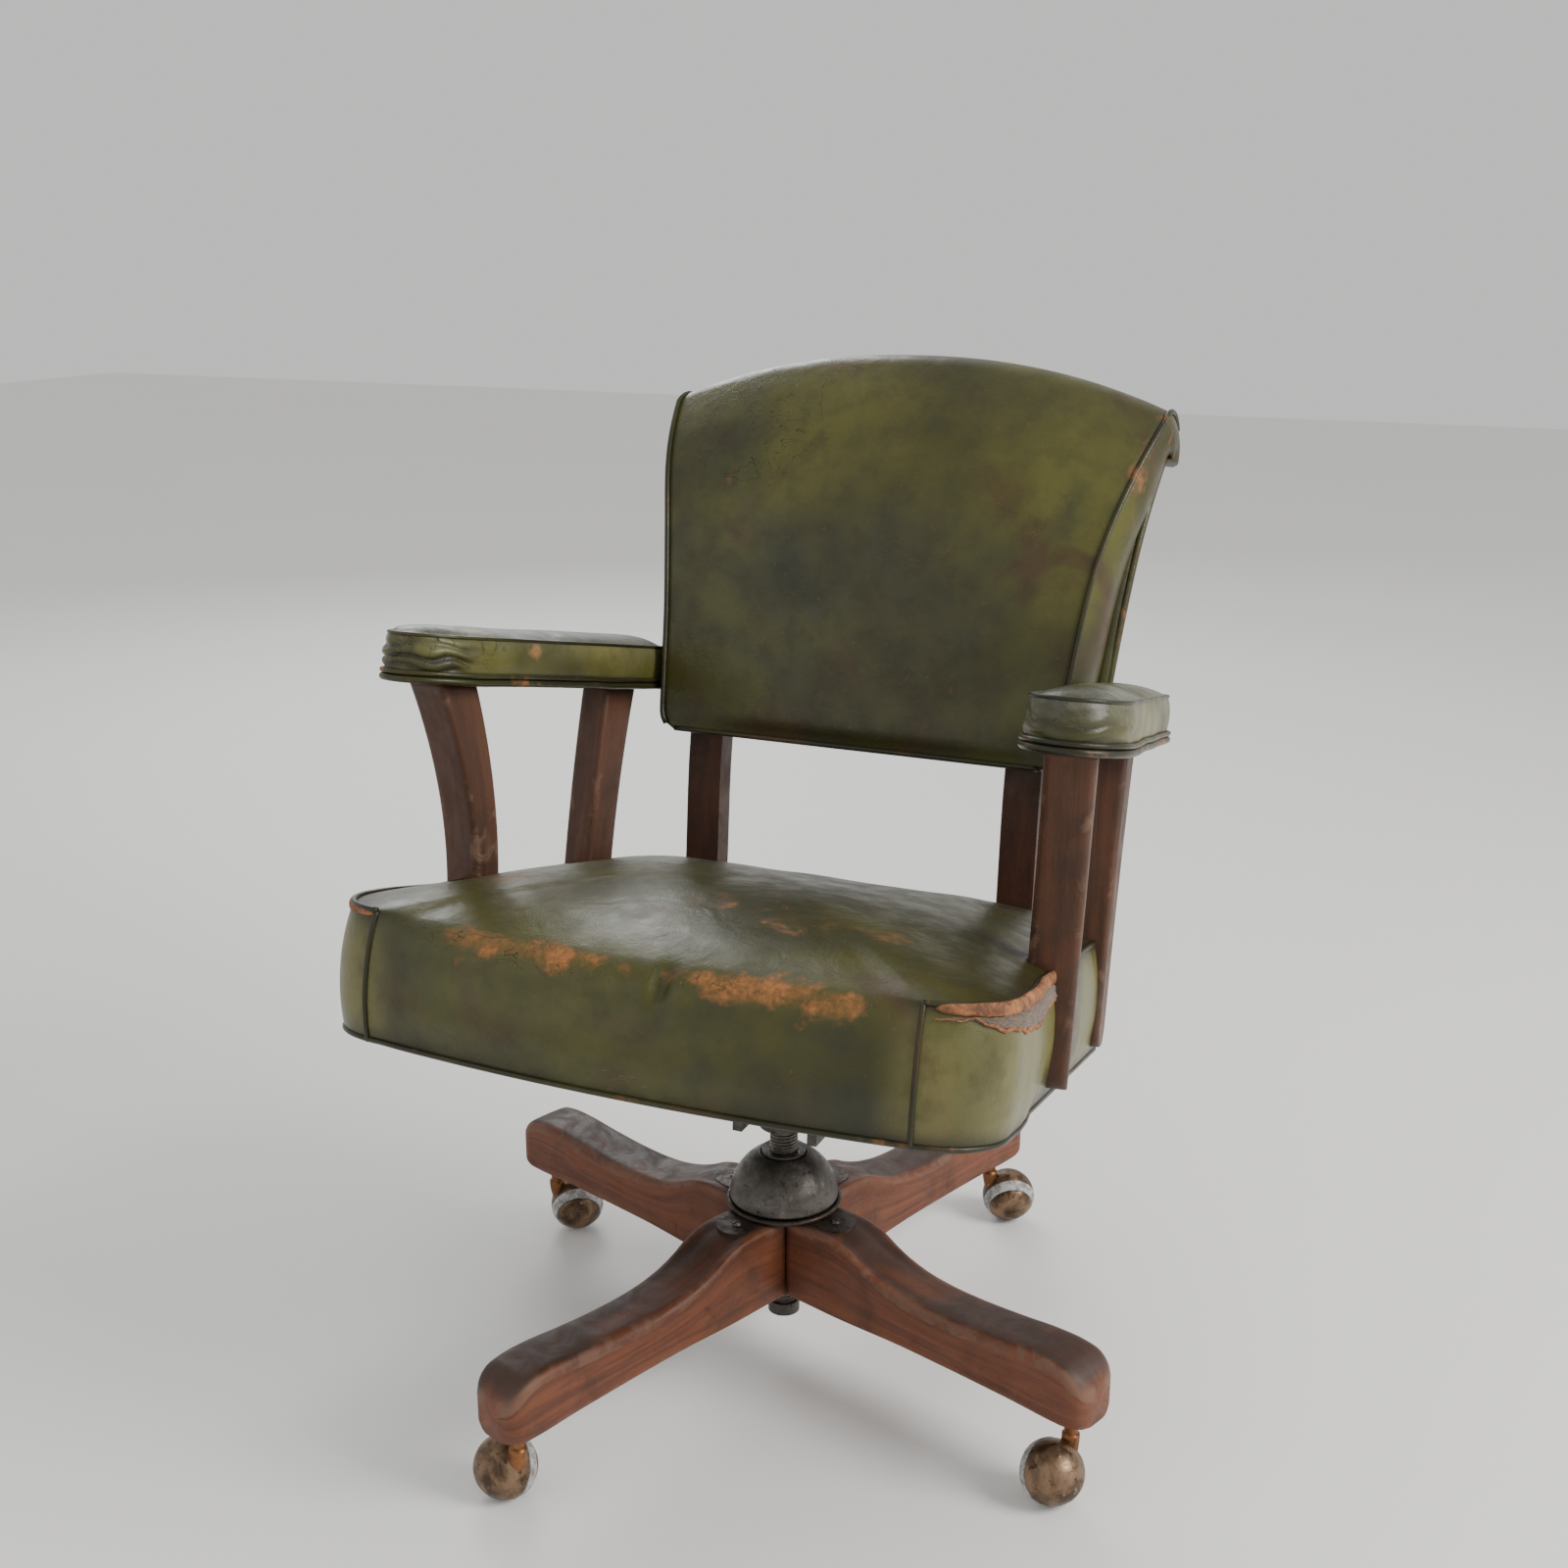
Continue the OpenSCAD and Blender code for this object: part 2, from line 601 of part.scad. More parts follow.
module post_bolts() {
    color(steel) reclined() for (s = [-1, 1], y = post_y)
        translate([s * (rail_x(y) - rail_t - 0.6), y, post_bolt_z])
        rotate([0, s * 90, 0]) {
            translate([0, 0, -5]) cylinder(d = 14, h = 4.8, $fn = 6);
            translate([0, 0, -0.3]) cylinder(d = bolt_d - 0.3, h = rail_t + 12, $fn = fine);
        }
}

// ------------------------------------------------------ arm boards and pads
arm_splay = 6.5;
arm_mid_y = -36;
arm_mid_x = (front_screw[0] + rear_screw[0]) / 2 + 2;
module arm_place(s) {
    mirror([s < 0 ? 1 : 0, 0, 0]) translate([arm_mid_x, arm_mid_y, 0]) rotate([0, 0, arm_splay]) children();
}
// a long outline with round corners at the rear and a fuller round front
module arm_outline(len, wid, front_r, rear_r) {
    y0 = -len / 2;
    y1 = len / 2;
    x = wid / 2;
    polygon(concat(arc(x - front_r, y0 + front_r, front_r, -90, 0),
        arc(x - rear_r, y1 - rear_r, rear_r, 0, 90),
        arc(-x + rear_r, y1 - rear_r, rear_r, 90, 180), arc(-x + front_r, y0 + front_r, front_r, 180, 270)));
}
module arm_board(s) {
    color(dark_walnut) reclined() difference() {
        translate([0, 0, arm_z]) arm_place(s) linear_extrude(arm_board_t)
            arm_outline(arm_len - 12, arm_w - 12, arm_w / 2 - 9, 14);
        arm_screw_bore(s, front_screw);
        arm_screw_bore(s, rear_screw);
    }
}
module arm_pad(s) {
    color(leather) reclined() difference() {
        translate([0, 0, arm_z]) arm_place(s) {
            linear_extrude(arm_board_t + arm_pad_t - 6) arm_outline(arm_len, arm_w, arm_w / 2 - 4, 18);
            translate([0, 0, arm_board_t + arm_pad_t - 6]) linear_extrude(6)
                arm_outline(arm_len - 10, arm_w - 10, arm_w / 2 - 9, 14);
        }
        translate([0, 0, arm_z - 1]) arm_place(s) linear_extrude(arm_board_t + 1 + gap)
            arm_outline(arm_len - 11, arm_w - 11, arm_w / 2 - 8.5, 14.5);
    }
}
module arm_screws() {
    color(steel) reclined() for (s = [-1, 1], place = [front_screw, rear_screw])
        translate([s * place[0], place[1], arm_z - 27])
            cylinder(d = arm_screw_d, h = 27 + arm_board_t - 3, $fn = fine);
}

// ------------------------------------------------------------------ the back
back_y = 103;
top_r = 31;
curve_h = back_h - top_r;
top_y = 81;
upright_x = back_w / 2 - 26;
// how far the back's face has swept rearward at a share t of its height
function back_sweep(t) = back_y + 22 * t + (top_y - 22) * pow(t, 5);
function back_line(off, t0, t1, n = 14) =
    [for (i = [0:n]) let (t = t0 + (t1 - t0) * i / n) [back_sweep(t) + off, back_z + curve_h * t]];
function reversed(points) = [for (i = [len(points) - 1:-1:0]) points[i]];
module across(width) {
    rotate([90, 0, 90]) translate([0, 0, -width / 2]) linear_extrude(width) children();
}
// the outline of the back seen from the front, grown by a margin
function back_half(t, grow) = back_w / 2 + grow + (back_top_w - back_w) / 2 * (0.35 * t + 0.65 * pow(t, 2.2));
arch = 34;
module back_outline(grow, t1, arched) {
    right = concat(arc(back_half(0, grow) - 22, back_z + 22, 22, -90, 0, 6),
        [for (i = [1:10]) let (t = t1 * i / 10) [back_half(t, grow), back_z + 20 + (curve_h - 20) * t]],
        arched ? [for (i = [1:8]) let (a = i / 8) [back_half(t1, grow) * (1 - a) , back_z + curve_h + top_r
            - arch * pow(1 - a, 2) + 0.1 * i]] : []);
    translate([0, big / 2, 0]) rotate([90, 0, 0]) linear_extrude(big) polygon(concat(right, mirrored(right)));
}
module back_cushion() {
    color(leather) reclined() difference() {
        intersection() {
            across(back_top_w + 80) polygon(concat(back_line(0, 0, 1),
                arc(back_sweep(1) + top_r, back_z + curve_h, top_r, 170, 10),
                [[back_sweep(0.94) + 2 * top_r + 2, back_z + curve_h * 0.95]],
                    reversed(back_line(back_t, 0, 0.88, 12))));
            back_outline(8, 1, true);
        }
        uprights(gap);
    }
}
board_gap = 0.5;
board_off = back_t + board_gap;
panel_off = board_off + board_t + board_gap;
module back_board() {
    color(dark_walnut) reclined() difference() {
        intersection() {
            across(back_top_w + 80) polygon(concat(back_line(board_off, 0.02, 0.84),
                reversed(back_line(board_off + board_t, 0.02, 0.84))));
            back_outline(10, 0.84, false);
        }
        board_bores(board_hole_d);
    }
}
panel_top = 0.9;
module back_panel() {
    color(leather) reclined() intersection() {
        across(back_top_w + 80) polygon(concat(back_line(panel_off, 0.03, panel_top),
            reversed(back_line(panel_off + panel_t, 0.03, panel_top))));
        back_outline(20, panel_top, false);
    }
}
// the uprights rise from the rear rail into pockets in the cushion's back
upright_off = back_t - upright_t;
upright_share = 0.5;
upright_foot_y = rail_rear + gap;
upright_bolt_z = seat_z + rail_h / 2;
upright_bend_z = rail_top + deck_t + 10;
function upright_front() = concat(
    [[upright_foot_y, foot_z]],
    [for (i = [0:6]) let (t = i / 6)
        [upright_foot_y + (back_sweep(0) + upright_off - upright_foot_y) * t * t * (3 - 2 * t),
        upright_bend_z + (back_z - upright_bend_z) * t]],
    [for (i = [1:6]) let (t = upright_share * i / 6) [back_sweep(t) + upright_off, back_z + curve_h * t]]);
function moved(points, dy) = [for (p = points) [p[0] + dy, p[1]]];
module upright_sides(grow) {
    polygon(concat(moved(upright_front(), -grow), reversed(moved(upright_front(), upright_t + grow))));
}
module uprights(grow) {
    for (s = [-1, 1]) translate([s * upright_x, 0, 0]) across(upright_w + 2 * grow) upright_sides(grow);
}
board_screw_z = back_z + 40;
board_screw_l = 18;
board_screw_d = 5;
board_hole_d = board_screw_d + 0.2;
module board_bores(d) {
    for (s = [-1, 1], k = [0, 1]) let (z = board_screw_z + 90 * k)
        translate([s * upright_x, back_sweep((z - back_z) / curve_h) + back_t - board_screw_l, z])
            rotate([-90, 0, 0])
            cylinder(d = d, h = board_screw_l + board_t + 10, $fn = fine);
}
module back_uprights() {
    color(walnut) reclined() difference() {
        uprights(0);
        for (s = [-1, 1]) translate([s * upright_x, rail_rear - 5, upright_bolt_z]) rotate([-90, 0, 0])
            cylinder(d = bolt_d, h = 60, $fn = fine);
        board_bores(board_hole_d);
    }
}
module board_screws() {
    color(steel) reclined() for (s = [-1, 1], k = [0, 1]) let (z = board_screw_z + 90 * k)
        translate([s * upright_x, back_sweep((z - back_z) / curve_h) + board_off, z]) rotate([-90, 0, 0])
            translate([0, 0, 2 - board_screw_l])
                cylinder(d = board_screw_d, h = board_screw_l + board_t - 3, $fn = fine);
}
module upright_bolts() {
    color(steel) reclined() for (s = [-1, 1])
        translate([s * upright_x, rail_rear - rail_t - 0.3, upright_bolt_z])
        rotate([-90, 0, 0]) {
            cylinder(d = bolt_d - 0.3, h = rail_t + upright_t + 1, $fn = fine);
            translate([0, 0, rail_t + upright_t + 1]) cylinder(d = 15, h = 3, $fn = fine);
        }
}

// ---------------------------------------------------------------- casters
// stem places follow the legs; each caster has swivelled to its own heading,
// given as the direction from its stem to the centre of its ball
stem_angle = [for (k = [0:3]) base_turn + 90 * k];
heading = [-118, 28.3, 34.8, 154];
ball_r = ball_d / 2;
skin = 2;
split = 4.4;
tyre_from = 5.4;
tyre_to = 14.4;
caster_axle_d = 8;
function stem_place(k) = [caster_r * cos(stem_angle[k]), caster_r * sin(stem_angle[k])];
module at_stem(k) {
    translate([stem_place(k)[0], stem_place(k)[1], 0]) rotate([0, 0, heading[k]]) children();
}
// a frame at the ball's centre with +Z out along the sloping axle
module on_axle() {
    translate([trail, 0, ball_r]) rotate([0, 0, -90]) rotate([0, 90 + axle_slope, 0]) children();
}
stem_top = leg_bottom + socket_depth - 2;
neck_top = leg_bottom - 19;
module caster_hood(k) {
    color(bronze) at_stem(k) union() {
        difference() {
            union() {
                translate([0, 0, ball_r - 6]) cylinder(d = stem_d + 4, h = neck_top - ball_r + 6, $fn = fine);
                on_axle() rotate_extrude($fn = 64) intersection() {
                    circle(r = ball_r - 0.5, $fn = 64);
                    translate([0, -ball_r]) square([ball_r, ball_r + split - 0.4]);
                }
            }
            on_axle() rotate_extrude($fn = 64) intersection() {
                circle(r = ball_r - 0.5 - skin, $fn = 64);
                translate([0, -ball_r]) square([ball_r, 2 * ball_r]);
            }
            on_axle() translate([0, 0, split - 0.4]) cylinder(r = ball_r + 14, h = 40, $fn = 64);
        }
        translate([0, 0, neck_top - 1]) cylinder(d = stem_d, h = stem_top - neck_top + 1, $fn = fine);
        on_axle() translate([0, 0, -ball_r + skin]) cylinder(d = caster_axle_d, h = ball_r + 10, $fn = fine);
    }
}
module caster_wheel(k) {
    color(bronze) at_stem(k) on_axle() rotate_extrude($fn = 64) difference() {
        union() {
            intersection() {
                circle(r = ball_r - 0.6, $fn = 64);
                translate([0, tyre_to + 0.2]) square([ball_r, ball_r]);
            }
            translate([0, split + 1]) square([ball_r - 9, tyre_to - split]);
            translate([0, -4]) square([caster_axle_d / 2 + 4, 12]);
        }
        translate([0, -12]) square([caster_axle_d / 2 + run, 24.5]);
    }
}
module caster_tyre(k) {
    color("#a9aaa6") at_stem(k) on_axle() rotate_extrude($fn = 64) intersection() {
        circle(r = ball_r, $fn = 64);
        translate([ball_r - 9 + 0.1, tyre_from]) square([ball_r, tyre_to - tyre_from]);
    }
}
module caster_sockets() {
    color(steel) for (k = [0:3]) translate([stem_place(k)[0], stem_place(k)[1], 0]) difference() {
        union() {
            translate([0, 0, leg_bottom - 2]) cylinder(d = stem_d + 12, h = 1.5, $fn = fine);
            translate([0, 0, leg_bottom - 2])
                cylinder(d = socket_hole_d - 0.4, h = socket_depth + 1, $fn = fine);
        }
        translate([0, 0, leg_bottom - 5]) cylinder(d = stem_d + 2 * run, h = big, $fn = fine);
    }
}

// ------------------------------------------------------------ the spring
spring_wire = 4;
spring_r = 15;
spring_turns = 4;
spring_low = to_seat(arm_y, arm_low + arm_t)[1] + 4.6;
spring_high = iron_top - iron_t - 0.6;
module tension_spring() {
    color(steel) reclined() translate([0, bar_y, 0]) for (i = [0:spring_turns - 1])
        translate([0, 0, spring_low + spring_wire / 2
            + (spring_high - spring_low - spring_wire) * i / (spring_turns - 1)])
            rotate_extrude($fn = fine) translate([spring_r, 0]) circle(d = spring_wire, $fn = 24);
}

leg(0);  // leg_front_right
leg(1);  // leg_rear_right
leg(2);  // leg_rear_left
leg(3);  // leg_front_left
hub_casting();
hub_screws();
bearing_cup();
caster_sockets();
dome_nut();
bearing_balls();
key_washer();
spindle();
spindle_stop_collar();
tilt_yoke();
yoke_pin();
tilt_axle();
seat_irons();
iron_bolts();
tension_bolt();
tension_spring();
spring_washer();
tension_knob();
seat_side_rails();
seat_cross_rails();
seat_deck();
dust_cover();
seat_cushion();
front_arm_post(1);  // arm_post_front_right
front_arm_post(-1);  // arm_post_front_left
rear_arm_post(1);  // arm_post_rear_right
rear_arm_post(-1);  // arm_post_rear_left
post_bolts();
arm_board(1);  // arm_board_right
arm_board(-1);  // arm_board_left
arm_pad(1);  // arm_pad_right
arm_pad(-1);  // arm_pad_left
arm_screws();
back_uprights();
upright_bolts();
back_board();
board_screws();
back_cushion();
back_panel();
caster_hood(0);  // caster_1_hood
caster_wheel(0);  // caster_1_wheel
caster_tyre(0);  // caster_1_tyre
caster_hood(1);  // caster_2_hood
caster_wheel(1);  // caster_2_wheel
caster_tyre(1);  // caster_2_tyre
caster_hood(2);  // caster_3_hood
caster_wheel(2);  // caster_3_wheel
caster_tyre(2);  // caster_3_tyre
caster_hood(3);  // caster_4_hood
caster_wheel(3);  // caster_4_wheel
caster_tyre(3);  // caster_4_tyre
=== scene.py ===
import json
import math

import bmesh
import bpy
import numpy as np
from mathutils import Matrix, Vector


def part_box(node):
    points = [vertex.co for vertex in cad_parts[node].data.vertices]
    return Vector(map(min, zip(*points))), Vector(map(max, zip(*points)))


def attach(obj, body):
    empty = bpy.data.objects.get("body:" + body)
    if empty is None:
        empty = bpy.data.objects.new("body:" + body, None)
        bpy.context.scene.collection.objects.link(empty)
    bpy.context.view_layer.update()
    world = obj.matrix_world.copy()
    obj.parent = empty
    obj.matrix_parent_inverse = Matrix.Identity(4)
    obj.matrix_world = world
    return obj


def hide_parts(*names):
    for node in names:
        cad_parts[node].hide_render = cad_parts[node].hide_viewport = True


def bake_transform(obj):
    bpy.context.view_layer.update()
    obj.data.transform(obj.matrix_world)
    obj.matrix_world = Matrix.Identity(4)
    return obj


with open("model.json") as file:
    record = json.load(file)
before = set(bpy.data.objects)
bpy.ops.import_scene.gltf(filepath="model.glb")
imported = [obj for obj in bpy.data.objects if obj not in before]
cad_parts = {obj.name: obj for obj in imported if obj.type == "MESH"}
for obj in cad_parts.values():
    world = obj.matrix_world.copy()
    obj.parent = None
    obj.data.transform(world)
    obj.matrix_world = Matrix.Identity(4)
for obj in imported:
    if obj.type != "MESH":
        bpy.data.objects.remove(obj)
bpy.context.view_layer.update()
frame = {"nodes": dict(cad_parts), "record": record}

# Looks of an upholstered swivel armchair: worn green leather, walnut legs and arms,
# dark iron works and ball casters. Metres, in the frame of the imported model.
# The seat and back are worked out level and then laid back about LEAN_Z.
joints = {joint["name"]: joint for joint in frame["record"]["behaviour"]["joints"]}
bolt_axis = joints["tension_turn"]["axis"]
RECLINE = math.atan2(bolt_axis[1], bolt_axis[2])
LEAN_Z = 0.339
BASE_TURN = math.atan2(joints["caster_1_swivel"]["pos_m"][1], joints["caster_1_swivel"]["pos_m"][0])
TAU = 2 * math.pi


# --- places
def join(*parts, axis=0):
    """Arrays, one after another."""
    return np.concatenate(parts, axis=axis)


def cols(*parts):
    """Arrays side by side as the coordinates of points."""
    return np.stack(np.broadcast_arrays(*parts), axis=-1)


def laid_back(points):
    """Turns level points by the recline about the X line at LEAN_Z."""
    points = np.asarray(points, dtype=float)
    y, z = points[..., 1], points[..., 2] - LEAN_Z
    c, s = math.cos(RECLINE), math.sin(RECLINE)
    return cols(points[..., 0], c * y + s * z, -s * y + c * z + LEAN_Z)


def turned(points, angle, shift=(0, 0, 0)):
    """Turns points about Z by the angle and then adds the shift."""
    points = np.asarray(points, dtype=float)
    c, s = math.cos(angle), math.sin(angle)
    x, y = points[..., 0], points[..., 1]
    return cols(c * x - s * y, s * x + c * y, points[..., 2]) + np.asarray(shift)


def along(points, count):
    """Points spaced evenly by length along a polyline."""
    points = np.asarray(points, dtype=float)
    steps = np.linalg.norm(np.diff(points, axis=0), axis=1)
    length = join([0], np.cumsum(steps))
    wanted = np.linspace(0, length[-1], count)
    return np.stack([np.interp(wanted, length, points[:, k]) for k in range(points.shape[1])],
                    axis=-1)


def arc(cx, cy, radius, start, end, count=12):
    """Points of a circle's arc between two angles in degrees."""
    angle = np.radians(np.linspace(start, end, count))
    return cols(cx + radius * np.cos(angle), cy + radius * np.sin(angle))


def smooth(value, low, high):
    """0 below low, 1 above high, and a smooth S between them."""
    t = np.clip((np.asarray(value, dtype=float) - low) / (high - low), 0, 1)
    return t * t * (3 - 2 * t)


def bell(value, centre, width):
    """A bell curve of height 1."""
    return np.exp(-((np.asarray(value, dtype=float) - centre) / width) ** 2)


def ripple(points, size, seed):
    """Smooth seeded unevenness from -1 to 1: nine plane waves of about the given size."""
    rng = np.random.default_rng(seed)
    total = np.zeros(points.shape[:-1])
    for _ in range(9):
        way = rng.normal(size=3)
        way /= np.linalg.norm(way)
        total += np.sin(points @ (way * TAU / (size * rng.uniform(0.6, 1.6))) + rng.uniform(0, TAU))
    return total / 4.5


# --- meshes
WELD = 2e-5


def grid_mesh(name, points):
    """A mesh over a grid of points, each cell a quad, with its quads' corners as an array."""
    rows, columns = points.shape[:2]
    index = np.arange(rows * columns).reshape(rows, columns)
    quads = np.stack([index[:-1, :-1], index[1:, :-1], index[1:, 1:], index[:-1, 1:]], axis=-1)
    mesh = bpy.data.meshes.new(name)
    mesh.from_pydata(points.reshape(-1, 3).tolist(), [], quads.reshape(-1, 4).tolist())
    return mesh, quads.ravel()


def linked(name, data):
    """A new object in the scene."""
    thing = bpy.data.objects.new(name, data)
    bpy.context.scene.collection.objects.link(thing)
    return thing


def surface(name, points, body, finish, marks=None, uv=None):
    """A piece over a grid of points, with its rows welded where they meet. marks are values
    for each point, which the materials read."""
    points = np.asarray(points, dtype=float)
    mesh, corners = grid_mesh(name, points)
    if uv is not None:
        layer = mesh.uv_layers.new(name="UVMap")
        layer.data.foreach_set("uv", np.asarray(uv, dtype=float).reshape(-1, 2)[corners].ravel())
    for key, values in (marks or {}).items():
        mark = mesh.attributes.new(key, "FLOAT", "POINT")
        values = np.broadcast_to(values, points.shape[:2]).astype(float)
        mark.data.foreach_set("value", values.ravel())
    work = bmesh.new()
    work.from_mesh(mesh)
    bmesh.ops.remove_doubles(work, verts=work.verts, dist=WELD)
    bmesh.ops.recalc_face_normals(work, faces=work.faces)
    work.to_mesh(mesh)
    work.free()
    mesh.shade_smooth()
    piece = linked(name, mesh)
    mesh.materials.append(finish)
    if body:
        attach(piece, body)
    return piece


def hide(name, points, finish, marks=None):
    """A leather surface on the seat."""
    return surface(name, points, "seat", finish, marks)


def capped(points):
    """Adds a pole at each end of a stack of rings, so that the shape is closed."""
    first = np.broadcast_to(points[:1].mean(axis=1, keepdims=True), points[:1].shape)
    last = np.broadcast_to(points[-1:].mean(axis=1, keepdims=True), points[-1:].shape)
    return join(first, points, last, axis=0)


def tube_points(path, radius, side, sides=10, flat=1.0):
    """A round or flattened section carried along a path. side never runs along the path."""
    path = np.asarray(path, dtype=float)
    run = np.gradient(path, axis=0)
    run /= np.linalg.norm(run, axis=1, keepdims=True)
    side = np.broadcast_to(np.asarray(side, dtype=float), path.shape)
    across = side - (side * run).sum(axis=1, keepdims=True) * run
    across /= np.linalg.norm(across, axis=1, keepdims=True)
    up = np.cross(run, across)
    angle = np.linspace(0, TAU, sides + 1)[None, :, None]
    radius = np.broadcast_to(np.asarray(radius, dtype=float), (len(path),))[:, None, None]
    return path[:, None, :] + radius * (np.cos(angle) * across[:, None, :]
                                        + flat * np.sin(angle) * up[:, None, :])


def welt(name, path, radius, side, closed=False, wear=None, finish=None):
    """Piping: a thin tube along a path, capped unless it closes on itself."""
    if closed:
        points = tube_points(join(path[-2:-1], path, path[1:2]), radius, side)[1:-1]
        points[-1] = points[0]
    else:
        points = capped(tube_points(path, radius, side))
    hide(name, points, finish or WELT, None if wear is None else {"wear": wear})


def revolved(profile, steps=64):
    """A profile of (radius, height) points turned once about Z."""
    profile = np.asarray(profile, dtype=float)
    angle = np.linspace(0, TAU, steps + 1)
    return cols(profile[:, :1] * np.cos(angle), profile[:, :1] * np.sin(angle), profile[:, 1:])


# A ring round a rectangle with round corners, held as shares: place = share * (half - r) + r * way
CORNER_STEPS = 5
FLAT_STEPS = 9


def ring_shares():
    """Shares and outward ways round a rectangle: four corner arcs joined by divided flats."""
    shares = []
    for turn, (sx, sy) in enumerate([(1, 1), (-1, 1), (-1, -1), (1, -1)]):
        angle = np.radians(np.linspace(90 * turn, 90 * turn + 90, CORNER_STEPS))
        ones = np.ones(CORNER_STEPS)
        shares.append(cols(sx * ones, sy * ones, np.cos(angle), np.sin(angle)))
        nx, ny = [(-1, 1), (-1, -1), (1, -1), (1, 1)][turn]
        t = np.linspace(0, 1, FLAT_STEPS + 2)[1:-1, None]
        way = math.radians(90 * turn + 90)
        way = np.array([math.cos(way), math.sin(way)])
        flat = np.array([[sx, sy]]) * (1 - t) + np.array([[nx, ny]]) * t
        shares.append(join(flat, np.broadcast_to(way, flat.shape), axis=-1))
    shares = np.concatenate(shares)
    return join(shares, shares[:1])


RING = ring_shares()


def boxed(half_a, half_b, radius):
    """Rings of a round-cornered rectangle, a row for each station, as its a and its b places."""
    half_a, half_b, radius = [np.asarray(v, dtype=float).reshape(-1, 1) for v in (half_a, half_b,
                                                                                  radius)]
    radius = np.minimum(radius, np.minimum(half_a, half_b))
    a = RING[:, 0] * (half_a - radius) + radius * RING[:, 2]
    b = RING[:, 1] * (half_b - radius) + radius * RING[:, 3]
    return a, b


# Painted highlight mask: 1 on the ring's rounded corners, so that the arrises of the legs and posts
# are painted pale as a highlight.
ARRIS_HIGHLIGHT = np.minimum(np.abs(RING[:, 0]), np.abs(RING[:, 1])) ** 6


# --- materials
def dim(colour, share):
    """A colour times a share."""
    return tuple(c * share for c in colour)


class Finish:
    """A material whose nodes are made by short calls, with the colour and the bumped normal
    that it has reached. Colours are linear."""

    def __init__(self, name, colour=None, **sockets):
        self.material = bpy.data.materials.new(name)
        self.material.use_nodes = True
        self.nodes = self.material.node_tree.nodes
        self.links = self.material.node_tree.links
        self.shader = self.nodes["Principled BSDF"]
        self.fill(self.shader, sockets)
        self.place = self.add("TexCoord").outputs["Object"]
        self.colour = colour
        self.normal = None

    def put(self, socket, value):
        """Links a socket to a value, or sets it."""
        if isinstance(value, bpy.types.NodeSocket):
            self.links.new(value, socket)
        elif isinstance(value, (tuple, list)) and socket.type == "RGBA":
            socket.default_value = (*value[:3], 1)
        else:
            socket.default_value = value

    def fill(self, node, values):
        for key, value in values.items():
            self.put(node.inputs[key.replace("_", " ")], value)

    def add(self, kind, **values):
        """A new node of a kind, with its inputs filled."""
        node = self.nodes.new("ShaderNode" + kind)
        self.fill(node, values)
        return node

    def stretch(self, scale, source=None):
        return self.add("Mapping", Vector=source or self.place, Scale=scale).outputs["Vector"]

    def noise(self, scale, detail=4, rough=0.55, warp=0, source=None):
        return self.add("TexNoise", Vector=source or self.place, Scale=scale, Detail=detail,
                        Roughness=rough, Distortion=warp).outputs["Fac"]

    def cells(self, scale):
        return self.add("TexVoronoi", Vector=self.place, Scale=scale).outputs["Distance"]

    def mark(self, name):
        node = self.add("Attribute")
        node.attribute_name = name
        return node.outputs["Fac"]

    def span(self, value, low, high, out_low=0, out_high=1):
        """Goes from out_low to out_high in a smooth S while the value goes from low to high."""
        node = self.add("MapRange", Value=value, From_Min=low, From_Max=high, To_Min=out_low,
                        To_Max=out_high)
        node.interpolation_type = "SMOOTHSTEP"
        return node.outputs["Result"]

    def math(self, kind, a, b=0):
        node = self.add("Math")
        node.operation = kind
        self.put(node.inputs[0], a)
        self.put(node.inputs[1], b)
        return node.outputs[0]

    def line(self, source, width):
        """1 on the middle value of a noise, which is a thin wandering line, and 0 beside it."""
        off = self.math("ABSOLUTE", self.math("SUBTRACT", source, 0.5))
        return self.span(off, 0, width, 1, 0)

    def cover(self, share, top):
        """Lays a colour over the one reached so far."""
        node = self.add("Mix")
        node.data_type = "RGBA"
        for place, value in ((0, share), (6, self.colour), (7, top)):
            self.put(node.inputs[place], value)
        self.colour = node.outputs[2]

    def tint(self, source, low, high, top, most=1):
        """Lays a colour on as the source goes from low to high, to at most a share."""
        self.cover(self.span(source, low, high, 0, most), top)

    def bump(self, height, distance, strength):
        """Adds a bump over the ones made so far."""
        node = self.add("Bump", Strength=strength, Distance=distance, Height=height)
        if self.normal is not None:
            self.put(node.inputs["Normal"], self.normal)
        self.normal = node.outputs["Normal"]

    def done(self, rough=None):
        for key, value in (("Base Color", self.colour), ("Roughness", rough),
                           ("Normal", self.normal)):
            if value is not None:
                self.put(self.shader.inputs[key], value)
        return self.material


OLIVE = (0.03, 0.0285, 0.0075)
MOSS = (0.068, 0.066, 0.0125)
POND = (0.023, 0.029, 0.016)
UMBER = (0.058, 0.031, 0.012)
RUBBED = (0.36, 0.145, 0.042)
CRACK = (0.012, 0.01, 0.007)
FADED = (0.2, 0.185, 0.06)
GREYED = (0.15, 0.155, 0.13)


